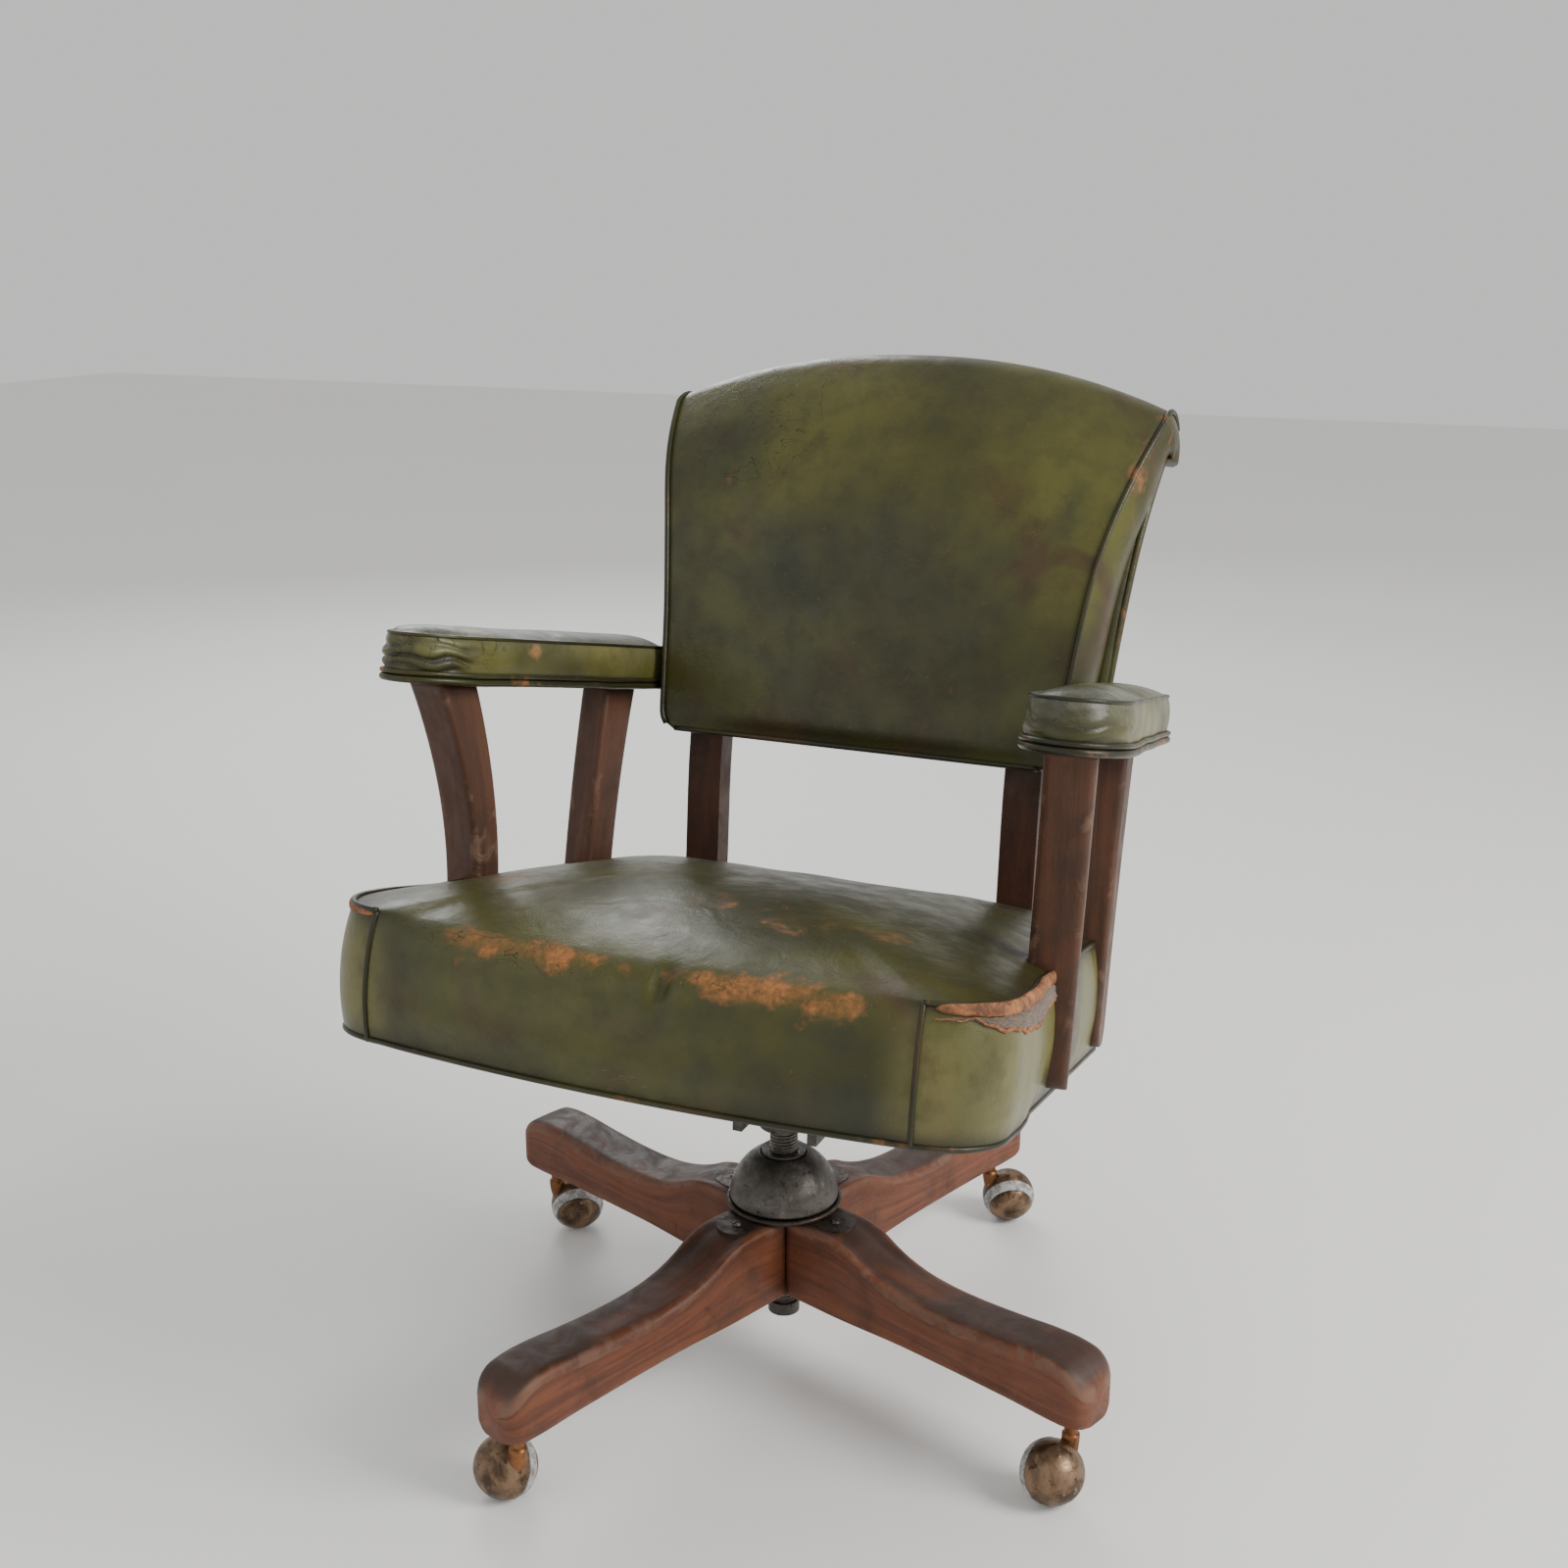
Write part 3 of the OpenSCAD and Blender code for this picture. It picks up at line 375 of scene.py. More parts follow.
def leather(name, rubbed=0.5, lightness=1.0):
    """Old dyed leather: patches of green, blue green and brown, tan showing where it is rubbed,
    greyed and faded places, short scratches, dark cracks and a fine grain."""
    moss = dim(MOSS, lightness)
    f = Finish(name, dim(OLIVE, lightness), Roughness=0.4, IOR=1.4, Coat_Weight=0.04,
               Coat_Roughness=0.25)
    broad = f.noise(4.2, 3, 0.5)
    fine = f.noise(42, 6, 0.6)
    speck = f.noise(210, 4, 0.7)
    f.tint(broad, 0.4, 0.68, moss)
    f.tint(f.noise(7.5, 4, 0.55, 0.6, f.stretch((1, 1, 0.8))), 0.52, 0.74, POND, 0.75)
    f.tint(f.noise(9.5, 3, 0.5, 1), 0.54, 0.78, UMBER, 0.8)
    f.tint(fine, 0.35, 0.75, CRACK, 0.35)
    f.tint(speck, 0.62, 0.8, dim(moss, 2.2), 0.3)
    # rubbed places
    worn = f.math("ADD", f.mark("wear"), f.span(fine, 0.45, 0.75, -0.25, 0.3))
    worn = f.math("ADD", worn, f.span(f.noise(16, 5, 0.65, 0.5), 0.4, 0.7, -0.35, 0.3))
    spots = f.span(f.noise(30, 5, 0.7, 0.4), 0.705, 0.76, 0, rubbed)
    share = f.math("MAXIMUM", f.span(worn, 0.25, 1.12, 0, 0.95), spots)
    green, f.colour = f.colour, dim(RUBBED, 0.55)
    f.tint(speck, 0.35, 0.65, RUBBED)
    tan, f.colour = f.colour, green
    f.cover(share, tan)
    f.cover(f.math("MULTIPLY", f.mark("greyed"), f.span(speck, 0.3, 0.7, 0.35, 0.95)), GREYED)
    f.cover(f.math("MULTIPLY", f.mark("grime"), f.span(fine, 0.25, 0.65, 0.5, 1)), dim(CRACK, 0.8))
    # scratches and cracks
    scratch = f.line(f.noise(11, 2, 0.5, 2.4, f.stretch((1, 1, 3))), 0.0035)
    scratch = f.math("MULTIPLY", scratch, f.span(f.noise(13, 2), 0.56, 0.64, 0, 0.7))
    f.cover(scratch, dim(RUBBED, 0.5))
    cracked = f.math("ADD", f.mark("cracks"), f.span(broad, 0.5, 0.75, 0, 0.3))
    split = f.math("MULTIPLY", f.line(f.noise(17, 3, 0.6, 1.8), 0.006), f.span(cracked, 0.2, 0.8))
    f.cover(split, CRACK)
    f.cover(f.math("MULTIPLY", f.mark("fade"), f.span(fine, 0.25, 0.6, 0.45, 1)), FADED)
    f.bump(f.cells(620), 0.00022, 0.35)
    f.bump(f.noise(95, 6, 0.65, 0.8), 0.0011, 0.32)
    f.bump(f.noise(24, 3, 0.5, 0.7), 0.004, 0.3)
    f.bump(f.math("SUBTRACT", 1, split), 0.0012, 0.7)
    rough = f.span(fine, 0.3, 0.7, 0.3, 0.44)
    return f.done(f.math("ADD", rough, f.math("MULTIPLY", share, 0.22)))


def torn_hide(name):
    """The bare orange-brown flesh side of the leather, with a frayed edge."""
    f = Finish(name, (0.11, 0.038, 0.014), Roughness=0.75)
    streak = f.noise(90, 6, 0.7, 0.6)
    f.tint(streak, 0.35, 0.7, (0.42, 0.17, 0.055))
    f.tint(f.noise(260, 4, 0.7), 0.6, 0.75, (0.55, 0.36, 0.19), 0.6)
    f.bump(f.noise(420, 6, 0.75), 0.0009, 0.8)
    f.bump(streak, 0.0014, 0.6)
    return f.done()


def wadding(name):
    """Matted cotton wadding, grey brown with pale fibres."""
    f = Finish(name, (0.045, 0.026, 0.015), Roughness=0.95, Sheen_Weight=0.3)
    fibre = f.noise(240, 8, 0.75, 1.6, f.stretch((1, 1, 2.4)))
    f.tint(fibre, 0.35, 0.68, (0.25, 0.16, 0.09))
    f.tint(f.noise(55, 4), 0.5, 0.7, (0.1, 0.06, 0.035), 0.6)
    f.bump(fibre, 0.0022, 0.9)
    return f.done()


def walnut(name, red, brown, dark, pale, lengthwise=True):
    """Old walnut: streaks and pores along the grain, dark handled tops, and pale arrises that are
    partly rubbed wear and partly a painted highlight.
    The grain follows the UV map, or Z where there is none."""
    f = Finish(name, brown, Roughness=0.5, IOR=1.38, Coat_Weight=0.03, Coat_Roughness=0.3)
    if lengthwise:
        run = f.add("UVMap").outputs["UV"]
        grain_run, pore_run = f.stretch((5, 70, 1), run), f.stretch((38, 900, 1), run)
    else:
        grain_run, pore_run = f.stretch((70, 70, 6)), f.stretch((900, 900, 38))
    grain = f.noise(1, 6, 0.62, 0.9, grain_run)
    pore = f.noise(1, 3, 0.6, 0, pore_run)
    patch = f.noise(17, 5, 0.6, 0.5)
    blotch = f.noise(34, 6, 0.65, 0.9)
    f.tint(grain, 0.32, 0.66, red)
    f.tint(patch, 0.45, 0.7, dark, 0.55)
    f.tint(pore, 0.6, 0.74, dim(dark, 0.35), 0.55)
    # The wear mark is partly rubbed wear and partly a painted highlight on the arrises; both are
    # tinted pale here.
    worn = f.math("ADD", f.mark("wear"), f.span(blotch, 0.35, 0.72, -0.4, 0.35))
    f.tint(worn, 0.3, 0.85, pale, 0.8)
    top = f.math("ADD", f.mark("grime"), f.span(patch, 0.3, 0.7, -0.3, 0.25))
    f.tint(top, 0.25, 0.9, dark, 0.88)
    f.tint(blotch, 0.66, 0.72, dim(dark, 0.3), 0.45)
    f.bump(pore, 0.0004, 0.45)
    f.bump(grain, 0.0007, 0.3)
    f.bump(blotch, 0.0016, 0.28)
    return f.done(f.span(blotch, 0.3, 0.7, 0.42, 0.66))


def metal(name, dark, light, worn, roughness, grain, metallic, rust):
    """Old metal: mottled tarnish, pits, brighter rubbed patches and a little rust."""
    f = Finish(name, dark, Roughness=roughness, Metallic=metallic)
    fine = f.noise(grain, 6, 0.7)
    f.tint(f.noise(38, 5, 0.6, 0.6), 0.36, 0.66, light)
    f.tint(fine, 0.58, 0.74, worn, 0.8)
    f.tint(fine, 0.46, 0.32, dim(dark, 0.3), 0.8)
    f.tint(f.noise(62, 6, 0.7, 1.2), 0.6, 0.72, (0.22, 0.078, 0.024), rust)
    f.bump(fine, 0.0005, 0.5)
    f.bump(f.span(f.cells(grain * 2.2), 0, 0.25), 0.0004, 0.4)
    return f.done(f.span(fine, 0.3, 0.7, roughness - 0.12, roughness + 0.22))


def tread(name):
    """A worn pale rubber tread with dirt pressed into it."""
    f = Finish(name, (0.2, 0.195, 0.185), Roughness=0.7)
    fine = f.noise(170, 7, 0.7)
    f.tint(fine, 0.38, 0.62, (0.47, 0.47, 0.455))
    f.tint(f.noise(60, 4), 0.55, 0.75, (0.16, 0.13, 0.105), 0.5)
    f.bump(fine, 0.0006, 0.6)
    return f.done()


def under_cloth(name):
    """A thin woven under cover: crossed threads with dust in them."""
    f = Finish(name, (0.014, 0.013, 0.012), Roughness=0.9, Sheen_Weight=0.15)
    split = f.add("SeparateXYZ", Vector=f.place)
    across, along_it = [f.math("SINE", f.math("MULTIPLY", split.outputs[axis], 2600))
                        for axis in (0, 1)]
    f.tint(f.noise(30, 5, 0.6), 0.4, 0.75, (0.07, 0.06, 0.05), 0.6)
    f.bump(f.math("MULTIPLY", across, along_it), 0.0003, 0.5)
    return f.done()


GREEN = leather("green_leather_seat", 0.55)
GREEN_BACK = leather("green_leather_back", 0.22, 1.3)
GREEN_SIDE = leather("green_leather_panel", 0.45, 1.35)
GREEN_ARM = leather("green_leather_arm", 0.5, 1.45)
WELT = leather("green_leather_welt", 0.35, 0.55)
TORN = torn_hide("bare_hide")
WADDING = wadding("cotton_wadding")
# wood: red, brown, dark and pale
LEG_WOOD = walnut("walnut_legs", (0.175, 0.057, 0.025), (0.095, 0.032, 0.017),
                  (0.04, 0.023, 0.017), (0.165, 0.088, 0.058))
POST_WOOD = walnut("walnut_posts", (0.092, 0.037, 0.018), (0.052, 0.022, 0.012),
                   (0.032, 0.02, 0.014), (0.175, 0.1, 0.062))
FRAME_WOOD = walnut("walnut_frame", (0.1, 0.038, 0.02), (0.06, 0.026, 0.016),
                    (0.03, 0.019, 0.014), (0.16, 0.09, 0.055), lengthwise=False)
DECK_WOOD = walnut("deck_board", (0.3, 0.17, 0.085), (0.22, 0.12, 0.06),
                   (0.12, 0.065, 0.035), (0.36, 0.24, 0.14), lengthwise=False)
# metal: dark, light and worn, then roughness, grain, metallic share and rust
IRON = metal("dark_iron", (0.06, 0.053, 0.046), (0.125, 0.112, 0.098), (0.24, 0.21, 0.18),
             0.38, 150, 0.65, 0.12)
BROWN_IRON = metal("brown_iron", (0.035, 0.024, 0.018), (0.075, 0.052, 0.04), (0.16, 0.12, 0.09),
                   0.45, 130, 0.6, 0.3)
STEEL = metal("oily_steel", (0.1, 0.088, 0.076), (0.22, 0.2, 0.175), (0.42, 0.38, 0.33),
              0.36, 170, 0.9, 0.35)
BRONZE = metal("worn_bronze", (0.06, 0.038, 0.024), (0.25, 0.16, 0.098), (0.5, 0.35, 0.23),
               0.36, 120, 0.8, 0.75)
NECK = metal("brown_bronze", (0.15, 0.062, 0.024), (0.29, 0.125, 0.048), (0.44, 0.25, 0.12),
             0.42, 110, 0.75, 0.6)
TREAD = tread("pale_tread")
CLOTH = under_cloth("under_cloth")

# --- camera, light
CAMERA_PLACE = (0.6237, -1.4207, 0.9983)
CAMERA_TURN = (73.58, 0.0, 23.7)
CAMERA_LENS = 43.83
FLOOR_HALF = 9.0


def make_camera():
    """The camera at a standing person's eye, looking a little down."""
    data = bpy.data.cameras.new("camera")
    data.lens = CAMERA_LENS
    data.sensor_width = 36
    camera = linked("camera", data)
    camera.location = CAMERA_PLACE
    camera.rotation_euler = [math.radians(a) for a in CAMERA_TURN]
    bpy.context.scene.camera = camera


def area_light(name, place, target, size, power, colour=(1, 1, 1)):
    """A square soft light at a place, facing a target."""
    data = bpy.data.lights.new(name, "AREA")
    data.size = size
    data.energy = power
    data.color = colour
    light = linked(name, data)
    light.location = place
    light.rotation_euler = (Vector(target) - Vector(place)).to_track_quat("-Z", "Y").to_euler()


def make_room():
    """A plain pale floor and surround, a broad window light from the right, a weaker one from
    the left rear and a soft fill."""
    edge = np.linspace(-FLOOR_HALF, FLOOR_HALF, 13)
    mesh, _ = grid_mesh("floor", cols(edge[:, None], edge, 0))
    floor = linked("floor", mesh)
    paint = Finish("floor_paint", (0.82, 0.81, 0.79), Roughness=0.6)
    paint.cover(paint.noise(1.2, 3), (0.86, 0.855, 0.84))
    mesh.materials.append(paint.done())
    world = bpy.data.worlds.new("surround")
    world.use_nodes = True
    inputs = world.node_tree.nodes["Background"].inputs
    inputs["Color"].default_value = (0.97, 0.97, 0.96, 1)
    inputs["Strength"].default_value = 0.74
    bpy.context.scene.world = world
    area_light("window", (2.9, -0.1, 2.2), (0, 0, 0.45), 1.5, 120, (1.0, 0.985, 0.96))
    area_light("far_window", (-1.9, 2.6, 2.1), (0, 0, 0.5), 1.5, 38, (0.97, 0.99, 1.0))
    area_light("room", (-1.8, -2.6, 1.6), (0, 0, 0.3), 2.6, 12)


# --- legs
LEG_REACH = 0.34
LEG_HALF_W = 0.0265
HUB_BORE = 0.0194
LEG_MID_Z = 0.11
# (distance from the hub's middle, height) along a leg's top and under line
LEG_TOP_LINE = np.array([
    [0.0, 0.1478], [0.068, 0.1474], [0.08, 0.144], [0.092, 0.1385], [0.108, 0.1328],
    [0.13, 0.1278], [0.16, 0.1246], [0.2, 0.1245], [0.245, 0.1272], [0.285, 0.1305],
    [0.308, 0.1302], [0.325, 0.1262], [0.334, 0.1195], [0.3395, 0.112]])
LEG_LOW_LINE = np.array([[0.0, 0.073], [0.08, 0.0738], [0.17, 0.0752], [0.26, 0.0752],
                         [0.325, 0.0744], [0.3395, 0.0756]])
LEG_NAMES = ["leg_front_right", "leg_rear_right", "leg_rear_left", "leg_front_left"]


def curve_at(line, x):
    """A smooth height at x through listed points: a cubic with slopes from the neighbours."""
    px, py = line[:, 0], line[:, 1]
    slope = np.gradient(py, px)
    k = np.clip(np.searchsorted(px, x) - 1, 0, len(px) - 2)
    h = px[k + 1] - px[k]
    t = (x - px[k]) / h
    return ((2 * t**3 - 3 * t**2 + 1) * py[k] + (t**3 - 2 * t**2 + t) * h * slope[k]
            + (3 * t**2 - 2 * t**3) * py[k + 1] + (t**3 - t**2) * h * slope[k + 1])


def make_leg(name, turn):
    """A leg: round-cornered sections between a top and an under line, mitred and bored at the
    hub and rounded in plan at the tip."""
    share = join(np.linspace(0, 0.93, 70), 1 - 0.07 * np.cos(np.linspace(0, math.pi / 2, 14))[1:])
    reach = share * LEG_REACH
    tip = np.clip((reach - (LEG_REACH - 0.018)) / 0.018, 0, 0.9999)
    half_w = LEG_HALF_W - 0.011 * (1 - np.sqrt(1 - tip**2))
    top, low = curve_at(LEG_TOP_LINE, reach), curve_at(LEG_LOW_LINE, reach)
    soft = 0.0035 + 0.0045 * smooth(reach, 0.05, 0.15)
    across, up = boxed(half_w, (top - low) / 2, soft)
    start = np.maximum(np.abs(across) + 0.0005, np.sqrt(np.maximum(HUB_BORE**2 - across**2, 0)))
    x = start + share[:, None] * (LEG_REACH - start)
    z = (top + low)[:, None] / 2 + up
    z = z - 0.0009 * smooth(np.abs(across), 0.01, LEG_HALF_W) * (up > 0)
    points = cols(x, across, z)
    hub = np.broadcast_to([HUB_BORE, 0, LEG_MID_Z], points[:1].shape)
    end = np.broadcast_to(points[-1:].mean(axis=1, keepdims=True), points[-1:].shape)
    points = join(hub, points, end)
    reach = join([0], reach, [LEG_REACH])
    around = join([0], np.cumsum(np.linalg.norm(np.diff(points[20], axis=0), axis=1)))
    uv = cols(reach[:, None], around)
    upper = smooth(points[..., 2], 0.1, 0.128) * smooth(np.abs(points[..., 1]), 0.0265, 0.019)
    # The upper arrises are painted pale as a painted highlight; the pale tip is rubbed wear.
    wear = 0.75 * ARRIS_HIGHLIGHT[None, :] * (points[..., 2] > 0.1) + 0.3 * smooth(reach, 0.3, 0.34)[:, None]
    grime = (0.85 * upper + 0.35 * smooth(points[..., 0], 0.29, 0.34)
             + 0.5 * smooth(points[..., 0], 0.06, 0.02))
    piece = surface(name + "_wood", turned(points, turn), "base", LEG_WOOD,
                    {"wear": wear, "grime": grime}, uv + turn)
    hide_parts(name)


# --- arm posts
RAIL_X0 = 0.241
RAIL_TAPER = 0.055
POST_TOP = 0.5966
POST_LOW = 0.332
FRONT_POST = (RAIL_X0 + RAIL_TAPER * 0.127 + 0.0265, -0.127)
REAR_POST = (RAIL_X0 - RAIL_TAPER * 0.084 + 0.012, 0.084)


def make_post(name, side, place, turn, left, width, front_line, rear_line):
    """An arm post: round-cornered sections between a front and a rear line that curve with
    height, turned a little in plan, with a rounded foot."""
    z = join(POST_LOW + 0.016 * (1 - np.cos(np.linspace(0.25, math.pi / 2, 7))),
             np.linspace(0.3485, POST_TOP, 60))
    foot = np.clip((0.348 - z) / 0.016, 0, 1)
    front, rear = front_line(z) + 0.012 * foot**2, rear_line(z) - 0.01 * foot**2
    across, along_y = boxed(np.full_like(z, width / 2), (rear - front) / 2, np.full_like(z, 0.0048))
    points = cols(across + width / 2 - left, along_y + (front + rear)[:, None] / 2, z[:, None])
    points = turned(capped(points), math.radians(turn), (place[0], place[1], 0))
    points[..., 0] *= side
    z_all = join(z[:1], z, z[-1:])
    ring = np.linspace(0, 2 * (width + 0.035), points.shape[1])
    uv = cols(z_all[:, None], ring)
    # The arrises are painted pale as a painted highlight; the patches about the post's middle are
    # rubbed wear.
    wear = (0.3 * ARRIS_HIGHLIGHT[None, :]
            + 0.34 * bell(z_all, 0.47, 0.09)[:, None]
            * smooth(ripple(points, 0.09, len(name)), -0.3, 0.6))
    grime = 0.5 * smooth(z_all, 0.46, 0.38)[:, None] * smooth(ripple(points, 0.12, 5), -0.4, 0.5)
    piece = surface(name + "_wood", laid_back(points), "seat", POST_WOOD,
                    {"wear": wear, "grime": grime}, uv + place[1] * side)
    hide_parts(name)


def bend(z, low):
    """Share of the bend reached at z: 0 below low, then growing as a square to 1 at the top."""
    return np.clip((z - low) / (POST_TOP - low), 0, None) ** 2


def make_posts():
    """Front posts sweep forward as they rise, rear posts bow a little rearward."""
    for side, word in ((1, "right"), (-1, "left")):
        make_post("arm_post_front_" + word, side, FRONT_POST, 12, 0.026, 0.039,
                  lambda z: 0.015 - 0.064 * bend(z, 0.38),
                  lambda z: 0.0439 - 0.0467 * bend(z, 0.38))
        make_post("arm_post_rear_" + word, side, REAR_POST, 6, 0.016, 0.031,
                  lambda z: -0.024 + 0.009 * ((z - 0.41) / (POST_TOP - 0.41)) ** 2,
                  lambda z: 0.016 + 0.017 * ((z - 0.41) / (POST_TOP - 0.41)) ** 2)


# --- the seat
SEAM_Z = 0.4235
SEAT_LOW = 0.3215
SEAT_CROWN = 0.0415
FRONT_SEAM_X = 0.226
CORNER_R = 0.0625
PAD_OUT = 0.0195
FRONT_Y = -0.2  # nothing but the front and its corners lies before this
UNDER_ROWS = 4
WALL_ROWS = 34
SEAM_ROW = UNDER_ROWS + WALL_ROWS - 1
ROLL_FROM = 0.7  # share of the boxing's height at which the soft edge starts to turn
TEAR_COLUMNS = 60
UP = np.array([0, 0, 1])


def seat_outline(count):
    """The seat in plan: a bowed front, round front corners, sides that close in rearward,
    and round rear corners. It starts at the front's middle and goes round by the right."""
    corner_x = 0.278
    bow = 0.02
    x = np.linspace(0, corner_x - CORNER_R, 12)
    front = cols(x, -0.322 + bow * (x / x[-1]) ** 2)
    side_y = np.linspace(-0.15, 0.112, 8)
    rear_x = RAIL_X0 - RAIL_TAPER * 0.16 + PAD_OUT
    half = join(
        front,
        arc(corner_x - CORNER_R, -0.322 + bow + CORNER_R, CORNER_R, -90, 0)[1:],
        [[0.2765, -0.2], [0.2735, -0.175]],
        cols(RAIL_X0 - RAIL_TAPER * side_y + PAD_OUT, side_y),
        arc(rear_x - 0.045, 0.16 - 0.045, 0.045, 0, 90)[1:],
        [[0, 0.16]],
    )
    whole = join(half, half[-2::-1] * np.array([-1, 1]))
    return along(whole, count)


def inward(outline):
    """Unit normals that point into a closed outline."""
    wrapped = join(outline[-2:-1], outline, outline[1:2])
    run = wrapped[2:] - wrapped[:-2]
    run /= np.linalg.norm(run, axis=1, keepdims=True)
    return cols(-run[:, 1], run[:, 0])


def make_seat():
    """The seat cover. Rows go from under the rails, round the bottom edge, up the boxing, over
    the top seam and across the crown to its middle. Where the front panel and top are one
    piece, the edge is a soft roll, and elsewhere it is a sharp sewn edge."""
    count = 420
    outline = seat_outline(count)
    normal = inward(outline)
    centre = np.array([0, -0.075])
    is_front = (smooth(np.abs(outline[:, 0]), FRONT_SEAM_X + 0.002, FRONT_SEAM_X - 0.036)
                * (outline[:, 1] < FRONT_Y))
    up = np.linspace(0, 1, WALL_ROWS)[:, None]
    # sharp rows: a boxing that bulges, drawn in at its seams
    sharp_in = 0.0035 - 0.0078 * np.sin(math.pi * up) ** 0.7
    sharp_z = SEAT_LOW + (SEAM_Z - SEAT_LOW) * up
    # soft rows: the same up to the roll, then a round edge
    roll = np.radians(np.clip((up - ROLL_FROM) / 0.3, 0, 1) * 58)
    roll_r = 0.03
    roll_z = SEAM_Z - 0.0265
    swell = np.sin(math.pi * np.clip(up / ROLL_FROM, 0, 1)) ** 2
    soft_in = np.where(up < ROLL_FROM, 0.002 - 0.0045 * smooth(up, 0, 0.35) - 0.0035 * swell,
                       roll_r * (1 - np.cos(roll)) - 0.0025)
    soft_z = np.where(up < ROLL_FROM, SEAT_LOW + (roll_z - SEAT_LOW) * up / ROLL_FROM,
                      roll_z + roll_r * np.sin(roll))
    inset = soft_in * is_front + sharp_in * (1 - is_front)
    height = soft_z * is_front + sharp_z * (1 - is_front)
    wall = outline[None] + inset[..., None] * normal[None]
    rim, rim_z = wall[-1], height[-1]
    shrink = 1 - np.linspace(0, 1, 60)[1:] ** 1.25
    puff = (1 - np.abs(shrink) ** 2.6) ** 0.86
    # rings inside the rim turn into ellipses, so that no ridge runs in from a corner
    reach = rim - centre
    bearing = np.arctan2(reach[:, 1] / 0.225, reach[:, 0] / 0.255)
    oval = cols(0.215 * np.cos(bearing), 0.19 * np.sin(bearing))
    keep = shrink[:, None, None] ** 1.8
    crown = centre + (reach[None] * keep + oval[None] * (1 - keep)) * shrink[:, None, None]
    # the crown is higher toward the front and hollow where a sitter has pressed it
    pressed = 0.0065 * bell(crown[..., 0], 0.0, 0.13) * bell(crown[..., 1], 0.02, 0.12)
    crown_z = rim_z[None] + (SEAT_CROWN - (rim_z - SEAM_Z))[None] * puff[:, None] - pressed
    under = np.repeat([[0.372], [0.372], [0.3192], [0.3192]], count, axis=1)
    under_plan = np.stack([np.broadcast_to(centre, outline.shape), outline + 0.052 * normal,
                           outline + 0.046 * normal, outline + 0.006 * normal])
    plan = join(under_plan, wall, crown)
    z = join(under, height, crown_z)
    points = join(plan, z[..., None], axis=-1)
    row = np.arange(len(points))[:, None]
    edge_row = UNDER_ROWS + 27
    on_top = smooth(row, 24, 44)
    # a pulled pucker on the front edge, right of its middle
    x, y = points[..., 0], points[..., 1]
    pucker = bell(x, 0.036 + 0.1 * (y + 0.3), 0.0065) * bell(row, edge_row, 4.5) * (y < FRONT_Y)
    lip = (bell(x, 0.024, 0.008) + bell(x, 0.049, 0.008)) * bell(row, edge_row, 5.0) * (y < FRONT_Y)
    uneven = (0.0009 * ripple(points, 0.15, 3) * on_top
              + 0.0004 * ripple(points, 0.07, 4) * smooth(row, 6, 20))
    points[..., 2] += uneven + 0.0016 * lip - 0.0062 * pucker
    points[..., 1] += 0.0052 * pucker - 0.001 * lip
    band = bell(row, edge_row + 3.0, 5.2) * smooth(np.abs(x - 0.01), 0.225, 0.15) * (y < FRONT_Y)
    band = band * (0.72 + 0.55 * bell(x, -0.115, 0.05) + 0.6 * bell(x, 0.105, 0.065)
                   + 0.22 * ripple(points, 0.07, 6))
    rear_wear = (0.6 * bell(x, -0.15, 0.07) * bell(y, -0.17, 0.07)
                 + 0.6 * bell(x, 0.05, 0.15) * bell(y, -0.2, 0.06))
    corner = 0.35 * bell(row, 14, 9) * bell(x, 0.268, 0.02) * bell(y, -0.23, 0.03)
    low_edge = 0.3 * bell(row, 5, 1.6) * (ripple(points, 0.09, 12) > 0.2)
    wear = np.clip(band, 0, 1.15) + rear_wear * on_top + corner + low_edge
    grime = 0.4 * bell(row, 36, 2.5) * (1 - is_front) + 0.3 * bell(row, 5, 3)
    cracks = (0.65 * bell(x, 0.17, 0.06) * bell(y, 0.03, 0.09) * on_top
              + 0.5 * bell(row, edge_row + 3, 4) * is_front)
    wall_rows = smooth(row, 4, 10) * smooth(row, 38, 32)
    fade = 0.62 * wall_rows * (1 - is_front) * smooth(ripple(points, 0.14, 15), -0.7, 0.5)
    seat = hide("seat_cover", laid_back(points), GREEN,
                {"wear": wear, "grime": grime, "cracks": cracks, "fade": fade})
    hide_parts("seat_cushion")
    make_seat_welts(points, outline)


def make_seat_welts(points, outline):
    """Piping up the front panel's two seams, round the top seam between them, and a thin
    binding round the bottom edge. Each follows the cover's own rows and columns."""
    front = np.nonzero(outline[:, 1] < FRONT_Y)[0]
    right = front[np.argmin(np.abs(outline[front, 0] - FRONT_SEAM_X))]
    left = front[np.argmin(np.abs(outline[front, 0] + FRONT_SEAM_X))]
    out = -join(inward(outline), np.zeros((len(outline), 1)), axis=1)
    for column, word in ((right, "right"), (left, "left")):
        path = points[UNDER_ROWS:SEAM_ROW + 1, column] + 0.0004 * out[column]
        welt("front_seam_" + word, laid_back(along(path, 40)), 0.0021, (1, 0, 0))
    path = points[SEAM_ROW, right:left + 1] + 0.0007 * out[right:left + 1]
    path[:, 2] += 0.0006
    welt("top_seam_welt", laid_back(path), 0.0026, (0, 0, 1), wear=0.25)
    path = points[UNDER_ROWS] + 0.001 * out
    path[:, 2] += 0.0014
    welt("bottom_binding", laid_back(path), 0.0021, (0, 0, 1), closed=True, wear=0.35)
    make_tears(points, out, right, left)


